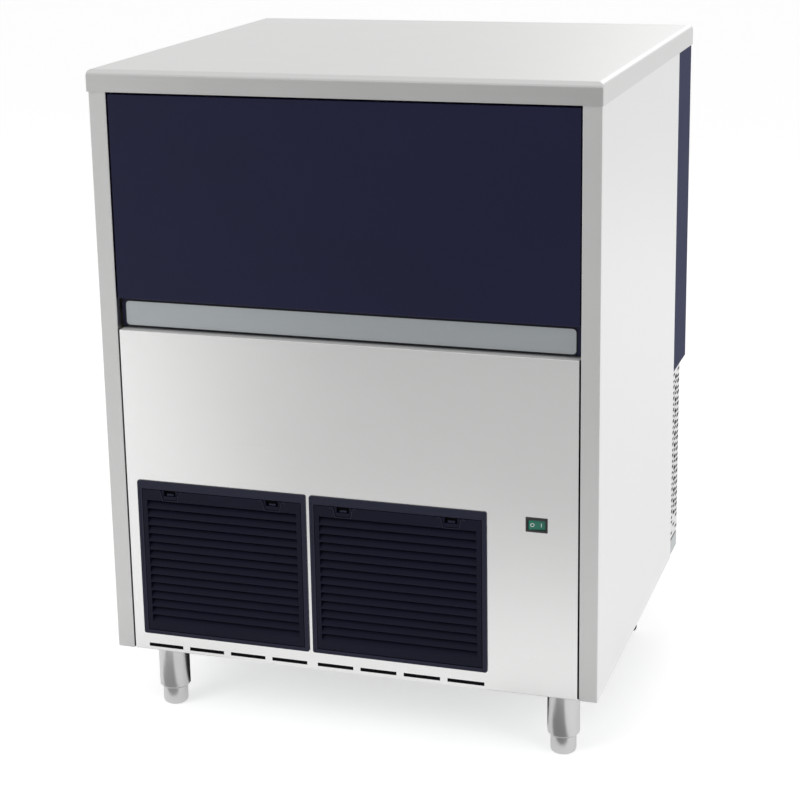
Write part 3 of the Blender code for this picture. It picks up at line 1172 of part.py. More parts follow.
def build_pipes(seat):
    """Refrigerant pipes: compressor to condenser, condenser by the drier to the barrel, and back."""
    cx = GRILLE_MIDDLE
    cz = grille_centre(1)[1]
    condenser_y = FRONT_Y + CONDENSER_SET_BACK + CONDENSER_DEPTH / 2
    right = cx + CONDENSER_WIDTH / 2 + GAP
    left = cx - CONDENSER_WIDTH / 2 - GAP
    high = cz + CONDENSER_HEIGHT / 2 - CONDENSER_PORT_INSET
    low = cz - CONDENSER_HEIGHT / 2 + CONDENSER_PORT_INSET
    radius = COMPRESSOR_RADIUS + GAP
    port = math.radians(DISCHARGE_PORT_DEG)
    out = Vector((math.cos(port), math.sin(port), 0.0))
    mouth = Vector((COMPRESSOR_X, COMPRESSOR_Y, seat + DISCHARGE_PORT_RISE)) + out * radius
    clear = mouth + out * 2 * PIPE_BEND
    over = FOAM_Z - PIPE_DROP
    drop_x = right + DISCHARGE_SIDE_ROOM
    route = [mouth, clear, (clear.x, clear.y, over), (drop_x, condenser_y + DISCHARGE_TURN, over),
             (drop_x, condenser_y, over), (drop_x, condenser_y, high), (right, condenser_y, high)]
    pipe("discharge_pipe", bent_path(route, PIPE_BEND), DISCHARGE_RADIUS, COPPER)

    drier_z = BASE_Z + DRIER_RISE
    neck = LIQUID_RADIUS * 2
    profile = [(0.0, DRIER_LENGTH), (neck, DRIER_LENGTH), (DRIER_RADIUS, DRIER_LENGTH - DRIER_RADIUS),
               (DRIER_RADIUS, DRIER_RADIUS), (neck, 0.0), (0.0, 0.0)]
    drier = turned("filter_drier", profile, (DRIER_X, DRIER_Y, drier_z), COPPER, "Y", 16)
    inside = DRIER_RADIUS / 2
    route = [(left, condenser_y, low), (DRIER_X, condenser_y, low),
             (DRIER_X, condenser_y + LIQUID_TURN, drier_z), (DRIER_X, DRIER_Y + inside, drier_z)]
    join(drier, pipe("condenser_outlet_pipe", bent_path(route, PIPE_BEND), LIQUID_RADIUS, None))
    jacket = BARREL_BORE + BARREL_WALL + GAP + JACKET_WALL + GAP
    rise_x = BARREL_X - jacket - LIQUID_PIPE_OFFSET
    entry = BARREL_Z + LIQUID_ENTRY
    route = [(DRIER_X, DRIER_Y + DRIER_LENGTH - inside, drier_z), (DRIER_X, BARREL_Y, drier_z),
             (rise_x, BARREL_Y, drier_z), (rise_x, BARREL_Y, entry), (BARREL_X - jacket, BARREL_Y, entry)]
    join(drier, pipe("liquid_pipe", bent_path(route, PIPE_BEND), LIQUID_RADIUS, None))

    fall_x = BARREL_X - jacket - SUCTION_PIPE_OFFSET
    leave = BARREL_Z + BARREL_HEIGHT - SUCTION_EXIT
    port_z = seat + SUCTION_PORT_RISE
    run_z = FOAM_Z - SUCTION_DROP
    route = [(BARREL_X - jacket, BARREL_Y, leave), (fall_x, BARREL_Y, leave), (fall_x, BARREL_Y, run_z),
             (fall_x, SIDE_REAR_Y, run_z), (COMPRESSOR_X, SIDE_REAR_Y, run_z),
             (COMPRESSOR_X, SIDE_REAR_Y, port_z), (COMPRESSOR_X, COMPRESSOR_Y + radius, port_z)]
    pipe("suction_pipe", bent_path(route, SUCTION_BEND), SUCTION_RADIUS, COPPER)
    for name, x, size in (("liquid_hole", rise_x, LIQUID_RADIUS), ("suction_hole", fall_x, SUCTION_RADIUS)):
        cut_shelf(name, x, BARREL_Y, size)


def cut_shelf(name, x, y, size):
    """A round hole in the shelf for a pipe."""
    cut(rear_bulkhead, rod(name, (x, y, FOAM_Z), "Z", size + PIPE_HOLE_ROOM, -CUT_CLEAR, CUT_CLEAR, steps=12))


def build_drive():
    """Gearbox and motor on the shelf, freezing barrel, auger and outlet head."""
    x, y = BARREL_X, BARREL_Y
    low = SHELF_Z + GAP
    gearbox = box("gearmotor", (x - GEARBOX_WIDTH / 2, y - GEARBOX_DEPTH / 2, low),
                  (x + GEARBOX_WIDTH / 2, y + GEARBOX_DEPTH / 2, GEARBOX_TOP_Z), ALUMINIUM, GEARBOX_ROUND, 2)
    first = GEARBOX_WIDTH / 2 - GEAR_MOTOR_SUNK
    last = first + GEAR_MOTOR_LENGTH
    slim = GEAR_MOTOR_RADIUS - GEAR_MOTOR_CAP
    motor = turned("gear_motor", [
        (0.0, last), (slim, last), (GEAR_MOTOR_RADIUS, last - GEAR_MOTOR_CAP),
        (GEAR_MOTOR_RADIUS, first + GEAR_MOTOR_NECK), (slim, first), (0.0, first)],
        (x, y, low + GEAR_MOTOR_RADIUS + SUNK), None, "X", DRIVE_SIDES)
    join(gearbox, motor)
    shaft_room = AUGER_SHAFT_RADIUS + GAP
    cut(gearbox, rod("shaft_room", (x, y, 0.0), "Z", shaft_room, GEARBOX_TOP_Z - AUGER_SOCKET,
                     GEARBOX_TOP_Z + CUT_CLEAR, steps=AUGER_SIDES))
    bore, outer = BARREL_BORE, BARREL_BORE + BARREL_WALL
    top = BARREL_Z + BARREL_HEIGHT
    turned("freezing_barrel", [
        (bore, top), (outer, top), (outer, BARREL_Z + BARREL_FLANGE_THICKNESS),
        (BARREL_FLANGE, BARREL_Z + BARREL_FLANGE_THICKNESS), (BARREL_FLANGE, BARREL_Z), (bore, BARREL_Z)],
        (x, y, 0.0), STAINLESS, steps=DRIVE_SIDES, ring=True)
    tube_ring("barrel_foam", (x, y, 0.0), "Z", outer + GAP + JACKET_WALL, outer + GAP,
              BARREL_Z + BARREL_FLANGE_THICKNESS + GAP, top - JACKET_TOP_ROOM, FOAM, DRIVE_SIDES)

    head_top = HEAD_Z + HEAD_HEIGHT
    auger = rod("auger", (x, y, 0.0), "Z", AUGER_SHAFT_RADIUS, GEARBOX_TOP_Z - AUGER_SOCKET + GAP,
                head_top - AUGER_TOP_ROOM, STAINLESS, AUGER_SIDES)
    join(auger, auger_flight(x, y))
    hang(axis_empty("auger_axis", (x, y, BARREL_Z)), auger)

    inner = HEAD_RADIUS - HEAD_WALL
    cap_low = head_top - HEAD_CAP
    return turned("outlet_head", [
        (shaft_room, head_top), (HEAD_RADIUS - HEAD_EDGE, head_top), (HEAD_RADIUS, head_top - HEAD_EDGE),
        (HEAD_RADIUS, HEAD_Z), (inner, HEAD_Z), (inner, cap_low), (shaft_room, cap_low)],
        (x, y, 0.0), STAINLESS, steps=DRIVE_SIDES, ring=True)


def auger_flight(x, y):
    """A helical blade: a small rectangle screwed up round the shaft and closed at both ends."""
    near, far = AUGER_SHAFT_RADIUS - AUGER_ROOT, BARREL_BORE - AUGER_ROOM
    mesh = bpy.data.meshes.new("flight_profile")
    bm = bmesh.new()
    loops = []
    for i in range(AUGER_TURNS * AUGER_STEPS + 1):
        angle = 2 * math.pi * i / AUGER_STEPS
        rise = BARREL_Z + AUGER_START + AUGER_PITCH * i / AUGER_STEPS
        section = [(near, rise), (far, rise), (far, rise + AUGER_FLIGHT), (near, rise + AUGER_FLIGHT)]
        loops.append([bm.verts.new((r * math.cos(angle), r * math.sin(angle), z)) for r, z in section])
    for a, b in zip(loops, loops[1:]):
        for k in range(4):
            bm.faces.new((a[k], a[(k + 1) % 4], b[(k + 1) % 4], b[k]))
    bm.faces.new(loops[0])
    bm.faces.new(loops[-1])
    bmesh.ops.recalc_face_normals(bm, faces=bm.faces)
    bm.to_mesh(mesh)
    bm.free()
    return place("auger_flight", mesh, None, (x, y, 0.0))


def chute_matrix():
    """Where the chute runs: down and forward from the outlet head into the bin."""
    middle_y = (LINER_REAR_Y + BARREL_Y - HEAD_RADIUS) / 2 + CHUTE_SHIFT
    slope = Matrix.Rotation(math.radians(CHUTE_SLOPE_DEG), 4, "X")
    return Matrix.Translation((BARREL_X, middle_y, HEAD_Z + CHUTE_RISE)) @ slope


def build_chute(holed):
    """Rectangular chute, and the openings for it in everything that it passes through."""
    size = Vector((CHUTE_WIDTH / 2, CHUTE_LENGTH / 2, CHUTE_HEIGHT / 2))
    chute = box("ice_chute", -size, size, BIN)
    chute.matrix_world = chute_matrix()
    wall = Vector((CHUTE_WALL, -CUT_CLEAR, CHUTE_WALL))
    bore = box("chute_bore", -size + wall, size - wall)
    bore.matrix_world = chute_matrix()
    cut(chute, bore)
    room = Vector((CHUTE_ROOM, CUT_CLEAR, CHUTE_ROOM))
    passage = box("chute_passage", -size - room, size + room)
    passage.matrix_world = chute_matrix()
    for piece in holed:
        cut(piece, passage)


def build_water():
    """Reservoir with its lid, float valve and float, and the hose that feeds the barrel."""
    x, low = TANK_X, BASE_Z + TANK_RISE
    y = BULKHEAD_Y + BULKHEAD_SHEET + GAP + TANK_DEPTH / 2
    high = low + TANK_HEIGHT
    tank = open_box("water_reservoir", (x - TANK_WIDTH / 2, y - TANK_DEPTH / 2, low),
                    (x + TANK_WIDTH / 2, y + TANK_DEPTH / 2, high), [(0, 0, 1)],
                    TANK_WALL, BIN, TANK_ROUND, 2)
    spigot_x = x - TANK_WIDTH / 2 + TANK_SPIGOT_INSET
    spigot_low = low - TANK_SPIGOT_LENGTH
    join(tank, rod("spigot", (spigot_x, y, 0.0), "Z", TANK_SPIGOT_RADIUS, spigot_low, low + SUNK, steps=16))
    cut(tank, rod("spigot_bore", (spigot_x, y, 0.0), "Z", TANK_SPIGOT_BORE, spigot_low - CUT_CLEAR,
                  low + CUT_CLEAR, steps=16))
    pivot_x = x - TANK_WIDTH / 2 + FLOAT_PIVOT_INSET
    pivot_z = high - FLOAT_PIVOT_DROP
    lid_low = high + GAP
    lid = box("reservoir_lid", (x - TANK_WIDTH / 2, y - TANK_DEPTH / 2, lid_low),
              (x + TANK_WIDTH / 2, y + TANK_DEPTH / 2, lid_low + TANK_LID), BIN, TANK_LID_ROUND, 1)
    valve_half = VALVE_WIDTH / 2
    valve_low = pivot_z + VALVE_PIVOT_ROOM
    join(lid, box("float_valve", (pivot_x - valve_half, y - valve_half, valve_low),
                  (pivot_x + valve_half, y + valve_half, lid_low + TANK_LID + VALVE_RISE)))
    lug = VALVE_LUG / 2
    join(lid, box("valve_lug", (pivot_x - VALVE_LUG_HALF, y - lug, pivot_z - VALVE_LUG_HALF),
                  (pivot_x + VALVE_LUG_HALF, y + lug, valve_low + SUNK)))
    pivot = (pivot_x, y, pivot_z)
    cut(lid, rod("pin_room", pivot, "Y", FLOAT_PIN_RADIUS + GAP, -CUT_CLEAR, CUT_CLEAR, steps=16))
    pin_half = lug + FLOAT_PIN_REACH
    arm = rod("float_arm", pivot, "Y", FLOAT_PIN_RADIUS, -pin_half, pin_half, ALUMINIUM, 16)
    side = lug + FLOAT_ARM_ROOM
    bar = box("float_bar", (-FLOAT_ARM_TAIL, side, -FLOAT_ARM_THICKNESS / 2),
              (FLOAT_ARM_LENGTH + FLOAT_ARM_SUNK, side + FLOAT_ARM_THICKNESS, FLOAT_ARM_THICKNESS / 2))
    ball = box("float_body", (FLOAT_ARM_LENGTH, -FLOAT_WIDTH / 2, -FLOAT_HEIGHT / 2),
               (FLOAT_ARM_LENGTH + FLOAT_LENGTH, FLOAT_WIDTH / 2, FLOAT_HEIGHT / 2), rounding=FLOAT_ROUND)
    droop = Matrix.Translation(pivot) @ Matrix.Rotation(math.radians(FLOAT_DROOP_DEG), 4, "Y")
    for piece in (bar, ball):
        piece.matrix_world = droop @ Matrix.Translation(piece.location)
        join(arm, piece)
    hang(axis_empty("float_axis", pivot), arm)
    hose_x = BARREL_X + BARREL_BORE + BARREL_WALL + JACKET_WALL + 2 * GAP
    hose_low = BARREL_Z + FEED_ENTRY
    route = [(spigot_x, y, spigot_low - GAP), (spigot_x, y, hose_low), (hose_x, BARREL_Y, hose_low)]
    pipe("reservoir_hose", bent_path(route, FEED_BEND, 5), TANK_SPIGOT_RADIUS, RUBBER)


def build_services():
    """Electrical box, bin drain, sensor tube and the fittings in the rear cover."""
    control_x = SIDE_INNER_X - SUPPORT_INSET - SHEET - GAP - CONTROL_WIDTH
    front = FRONT_Y + CONTROL_SET_BACK
    floor_z = BASE_Z + CHASSIS_SHEET + GAP
    box("electrical_box", (control_x, front, floor_z),
        (control_x + CONTROL_WIDTH, front + CONTROL_DEPTH, floor_z + CONTROL_HEIGHT), GREY, CONTROL_ROUND, 2)

    inner_floor = LINER_Z + LINER_WALL + GAP
    tail_low = FOAM_Z - DRAIN_TAIL_LENGTH
    turned("bin_drain", [
        (DRAIN_BORE, inner_floor + DRAIN_FLANGE_THICKNESS),
        (DRAIN_FLANGE_RADIUS, inner_floor + DRAIN_FLANGE_THICKNESS), (DRAIN_FLANGE_RADIUS, inner_floor),
        (DRAIN_TAIL_RADIUS, inner_floor), (DRAIN_TAIL_RADIUS, tail_low), (DRAIN_BORE, tail_low)],
        (DRAIN_X, DRAIN_Y, 0.0), GREY, steps=20, ring=True)
    service_z = BASE_Z + SERVICE_RISE
    inside_y = LOWER_REAR_Y - COVER_SHEET - FITTING_INSIDE
    route = [(DRAIN_X, DRAIN_Y, tail_low - GAP), (DRAIN_X, DRAIN_Y, service_z + DRAIN_HOSE_TURN_RISE),
             (OUTLET_X, DRAIN_Y + DRAIN_HOSE_TURN_BACK, service_z), (OUTLET_X, inside_y - GAP, service_z)]
    pipe("drain_hose", bent_path(route, DRAIN_HOSE_BEND, 5), DRAIN_TAIL_RADIUS, GREY)
    collar = LOWER_REAR_Y + GAP
    collar_end = collar + FITTING_COLLAR_THICKNESS
    outer_end = collar + FITTING_OUTSIDE
    for name, x, mat in (("drain_outlet", OUTLET_X, GREY), ("water_inlet", INLET_X, BRASS),
                         ("cable_gland", GLAND_X, BLACK)):
        fitting = turned(name, [
            (FITTING_BORE, outer_end), (FITTING_RADIUS, outer_end), (FITTING_RADIUS, collar_end),
            (FITTING_COLLAR, collar_end), (FITTING_COLLAR, collar), (FITTING_RADIUS, collar),
            (FITTING_RADIUS, inside_y), (FITTING_BORE, inside_y)],
            (x, 0.0, service_z), mat, "Y", FITTING_SIDES, ring=True)
        if name == "water_inlet":
            join(fitting, *supply_pipe(inside_y, service_z))
    sensor_y = LINER_REAR_Y - LINER_WALL - GAP - SENSOR_RADIUS
    sensor_top = LINER_TOP_Z - SENSOR_DROP
    tube_ring("bin_sensor_tube", (SENSOR_X, sensor_y, 0.0), "Z", SENSOR_RADIUS, SENSOR_BORE,
              sensor_top - SENSOR_LENGTH, sensor_top, STAINLESS, 16)


def supply_pipe(inside_y, service_z):
    """Plug in the inlet's inner end, and the pipe from it up to the float valve."""
    plug = rod("inlet_plug", (INLET_X, 0.0, service_z), "Y", FITTING_BORE + SUNK, inside_y + SUNK,
               inside_y + SUNK + SUPPLY_PLUG, steps=FITTING_SIDES)
    tank_y = BULKHEAD_Y + BULKHEAD_SHEET + GAP + TANK_DEPTH / 2
    valve_x = TANK_X - TANK_WIDTH / 2 + FLOAT_PIVOT_INSET
    tank_top = BASE_Z + TANK_RISE + TANK_HEIGHT + GAP + TANK_LID
    over = tank_top + SUPPLY_OVER
    rise_y = inside_y - SUPPLY_RISE_INSET
    route = [(INLET_X, inside_y + SUPPLY_PLUG, service_z), (INLET_X, rise_y, service_z),
             (INLET_X, rise_y, over), (valve_x, tank_y, over), (valve_x, tank_y, tank_top + VALVE_RISE + GAP)]
    cut_shelf("supply_hole", INLET_X, rise_y, SUPPLY_RADIUS)
    return plug, pipe("supply_pipe", bent_path(route, PIPE_BEND), SUPPLY_RADIUS, None)


def cut_drain(*pieces):
    hole = rod("drain_hole", (DRAIN_X, DRAIN_Y, 0.0), "Z", DRAIN_TAIL_RADIUS + GAP, FOAM_Z - CUT_CLEAR,
               LINER_Z + CUT_CLEAR, steps=20)
    for piece in pieces:
        cut(piece, hole)


build_cabinet()
build_front_panel()
build_grille("left", -1)
build_grille("right", 1)
build_switch()
build_feet()
bin_liner, bin_foam = build_bin()
rear_bulkhead = build_supports()
build_rear_covers()
build_door()
build_cooling()
build_pipes(build_compressor())
outlet_head = build_drive()
build_chute([bin_liner, bin_foam, rear_bulkhead, outlet_head])
build_water()
build_services()
cut_drain(bin_liner, bin_foam)
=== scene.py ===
import json
import math

import bmesh
import bpy
from mathutils import Matrix, Vector
from mathutils.bvhtree import BVHTree


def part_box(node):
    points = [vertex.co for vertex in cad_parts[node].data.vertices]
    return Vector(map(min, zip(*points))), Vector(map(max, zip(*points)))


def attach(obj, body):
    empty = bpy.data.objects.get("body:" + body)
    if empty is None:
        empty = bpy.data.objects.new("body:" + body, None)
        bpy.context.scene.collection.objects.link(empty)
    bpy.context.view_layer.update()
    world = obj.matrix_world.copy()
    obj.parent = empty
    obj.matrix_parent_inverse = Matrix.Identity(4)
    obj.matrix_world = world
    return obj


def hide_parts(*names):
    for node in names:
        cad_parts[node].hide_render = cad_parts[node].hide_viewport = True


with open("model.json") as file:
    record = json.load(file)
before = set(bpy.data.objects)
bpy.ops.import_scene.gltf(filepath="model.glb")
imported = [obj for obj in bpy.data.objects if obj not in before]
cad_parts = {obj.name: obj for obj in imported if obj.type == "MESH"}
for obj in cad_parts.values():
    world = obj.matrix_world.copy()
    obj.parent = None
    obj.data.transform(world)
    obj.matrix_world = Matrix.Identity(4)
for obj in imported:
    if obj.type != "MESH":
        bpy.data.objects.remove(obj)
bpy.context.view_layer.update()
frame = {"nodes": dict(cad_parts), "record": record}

nodes = frame["nodes"]
scene = bpy.context.scene
print("frame loaded:", len(nodes), "nodes")

# the camera stands where the photographer stood, above the machine and to its right
camera = {"place": (0.897, -2.860, 1.332), "yaw": 18.34, "pitch": -14.54, "roll": -1.10,
          "lens": 89.62, "sensor": 36.0, "shift": (0.0216, -0.1), "clip": (0.02, 60.0)}


def aimCamera():
    yaw, pitch, roll = (math.radians(camera[key]) for key in ("yaw", "pitch", "roll"))
    ahead = Vector((-math.sin(yaw) * math.cos(pitch), math.cos(yaw) * math.cos(pitch), math.sin(pitch)))
    right = Vector((math.cos(yaw), math.sin(yaw), 0.0))
    up = right.cross(ahead)
    across = math.cos(roll) * right + math.sin(roll) * up
    upward = math.cos(roll) * up - math.sin(roll) * right
    data = bpy.data.cameras.new("camera")
    data.sensor_width = camera["sensor"]
    data.lens = camera["lens"]
    data.shift_x, data.shift_y = camera["shift"]
    data.clip_start, data.clip_end = camera["clip"]
    holder = bpy.data.objects.new("camera", data)
    scene.collection.objects.link(holder)
    turn = Matrix((across, upward, -ahead)).transposed()
    holder.matrix_world = Matrix.Translation(camera["place"]) @ turn.to_4x4()
    scene.camera = holder


aimCamera()
scene.view_settings.view_transform = "Standard"


# Small helpers for node trees: a value that is a socket is linked, any other is set.
def addNode(tree, kind, values=None, **settings):
    node = tree.nodes.new(kind)
    for name, value in settings.items():
        setattr(node, name, value)
    for name, value in (values or {}).items():
        socket = node.inputs[name]
        if isinstance(value, bpy.types.NodeSocket):
            tree.links.new(value, socket)
        else:
            socket.default_value = value
    return node


def doMath(tree, operation, *values):
    node = addNode(tree, "ShaderNodeMath", operation=operation)
    for slot, value in enumerate(values):
        if isinstance(value, bpy.types.NodeSocket):
            tree.links.new(value, node.inputs[slot])
        else:
            node.inputs[slot].default_value = value
    return node.outputs[0]


def newGroup(name, inputs, outputs):
    tree = bpy.data.node_groups.new(name, "ShaderNodeTree")
    for label, kind, value in inputs:
        socket = tree.interface.new_socket(label, in_out="INPUT", socket_type="NodeSocket" + kind)
        if value is not None:
            socket.default_value = value
    for label, kind in outputs:
        tree.interface.new_socket(label, in_out="OUTPUT", socket_type="NodeSocket" + kind)
    return tree, tree.nodes.new("NodeGroupInput").outputs, tree.nodes.new("NodeGroupOutput").inputs


def makeBrushedGrain():
    # long scratches along the sheet, with faint cloudy patches from handling
    cloudContrast = 0.05
    tree, given, result = newGroup("brushed grain", [
        ("Along", "Vector", None), ("Place", "Vector", None), ("Colour", "Color", None),
        ("Contrast", "Float", 0.05), ("Roughness", "Float", 0.3), ("Spread", "Float", 0.1)],
        [("Colour", "Color"), ("Roughness", "Float"), ("Height", "Float")])
    fine = addNode(tree, "ShaderNodeTexNoise", {"Vector": given["Along"], "Scale": 1.0, "Detail": 4.0,
                                                "Roughness": 0.65}).outputs[0]
    broad = addNode(tree, "ShaderNodeTexNoise", {"Vector": given["Place"], "Scale": 3.2, "Detail": 3.0,
                                                 "Roughness": 0.55}).outputs[0]
    scratch = doMath(tree, "MULTIPLY", doMath(tree, "SUBTRACT", fine, 0.5), given["Contrast"])
    cloud = doMath(tree, "MULTIPLY", doMath(tree, "SUBTRACT", broad, 0.5), cloudContrast)
    tone = doMath(tree, "ADD", doMath(tree, "ADD", scratch, cloud), 1.0)
    tinted = addNode(tree, "ShaderNodeVectorMath", {0: given["Colour"], "Scale": tone}, operation="SCALE")
    tree.links.new(tinted.outputs[0], result["Colour"])
    uneven = doMath(tree, "MULTIPLY", doMath(tree, "SUBTRACT", broad, 0.5), given["Spread"])
    streak = doMath(tree, "MULTIPLY", doMath(tree, "SUBTRACT", fine, 0.5), given["Spread"])
    tree.links.new(doMath(tree, "ADD", doMath(tree, "ADD", given["Roughness"], uneven), streak),
                   result["Roughness"])
    tree.links.new(fine, result["Height"])
    return tree


def makeMouldedGrain():
    # fine spark-eroded texture of moulded plastic and sprayed enamel
    pitShare = 0.6
    tree, given, result = newGroup("moulded grain", [
        ("Place", "Vector", None), ("Colour", "Color", None), ("Grain", "Float", 600.0),
        ("Contrast", "Float", 0.1), ("Roughness", "Float", 0.45), ("Spread", "Float", 0.1)],
        [("Colour", "Color"), ("Roughness", "Float"), ("Height", "Float")])
    fine = addNode(tree, "ShaderNodeTexNoise", {"Vector": given["Place"], "Scale": given["Grain"],
                                                "Detail": 3.0, "Roughness": 0.6}).outputs[0]
    pits = addNode(tree, "ShaderNodeTexVoronoi", {"Vector": given["Place"],
                                                  "Scale": given["Grain"]}).outputs[0]
    broad = addNode(tree, "ShaderNodeTexNoise", {"Vector": given["Place"], "Scale": 7.0,
                                                 "Detail": 4.0}).outputs[0]
    speck = doMath(tree, "MULTIPLY", doMath(tree, "SUBTRACT", fine, 0.5), given["Contrast"])
    cloud = doMath(tree, "MULTIPLY", doMath(tree, "SUBTRACT", broad, 0.5), given["Contrast"])
    tone = doMath(tree, "ADD", doMath(tree, "ADD", speck, cloud), 1.0)
    tinted = addNode(tree, "ShaderNodeVectorMath", {0: given["Colour"], "Scale": tone}, operation="SCALE")
    tree.links.new(tinted.outputs[0], result["Colour"])
    uneven = doMath(tree, "MULTIPLY", doMath(tree, "SUBTRACT", broad, 0.5), given["Spread"])
    tree.links.new(doMath(tree, "ADD", given["Roughness"], uneven), result["Roughness"])
    tree.links.new(doMath(tree, "ADD", doMath(tree, "MULTIPLY", pits, pitShare), fine), result["Height"])
    return tree


def makeSettledDust():
    # a thin film that lies only on faces that look up
    dustColour, leastUp = (0.56, 0.54, 0.50, 1.0), 0.6
    tree, given, result = newGroup("settled dust", [
        ("Place", "Vector", None), ("Colour", "Color", None), ("Roughness", "Float", 0.4),
        ("Amount", "Float", 0.1)], [("Colour", "Color"), ("Roughness", "Float")])
    normal = addNode(tree, "ShaderNodeNewGeometry").outputs["Normal"]
    up = addNode(tree, "ShaderNodeSeparateXYZ", {0: normal}).outputs["Z"]
    drift = addNode(tree, "ShaderNodeTexNoise", {"Vector": given["Place"], "Scale": 22.0,
                                                 "Detail": 5.0}).outputs[0]
    lying = doMath(tree, "MAXIMUM", doMath(tree, "SUBTRACT", up, leastUp), 0.0)
    film = doMath(tree, "MULTIPLY", doMath(tree, "MULTIPLY", lying, drift), given["Amount"])
    mixed = addNode(tree, "ShaderNodeMix", {0: film, 6: given["Colour"], 7: dustColour},
                    data_type="RGBA")
    tree.links.new(mixed.outputs[2], result["Colour"])
    tree.links.new(doMath(tree, "ADD", given["Roughness"], film), result["Roughness"])
    return tree


brushedGrain = makeBrushedGrain()
mouldedGrain = makeMouldedGrain()
settledDust = makeSettledDust()

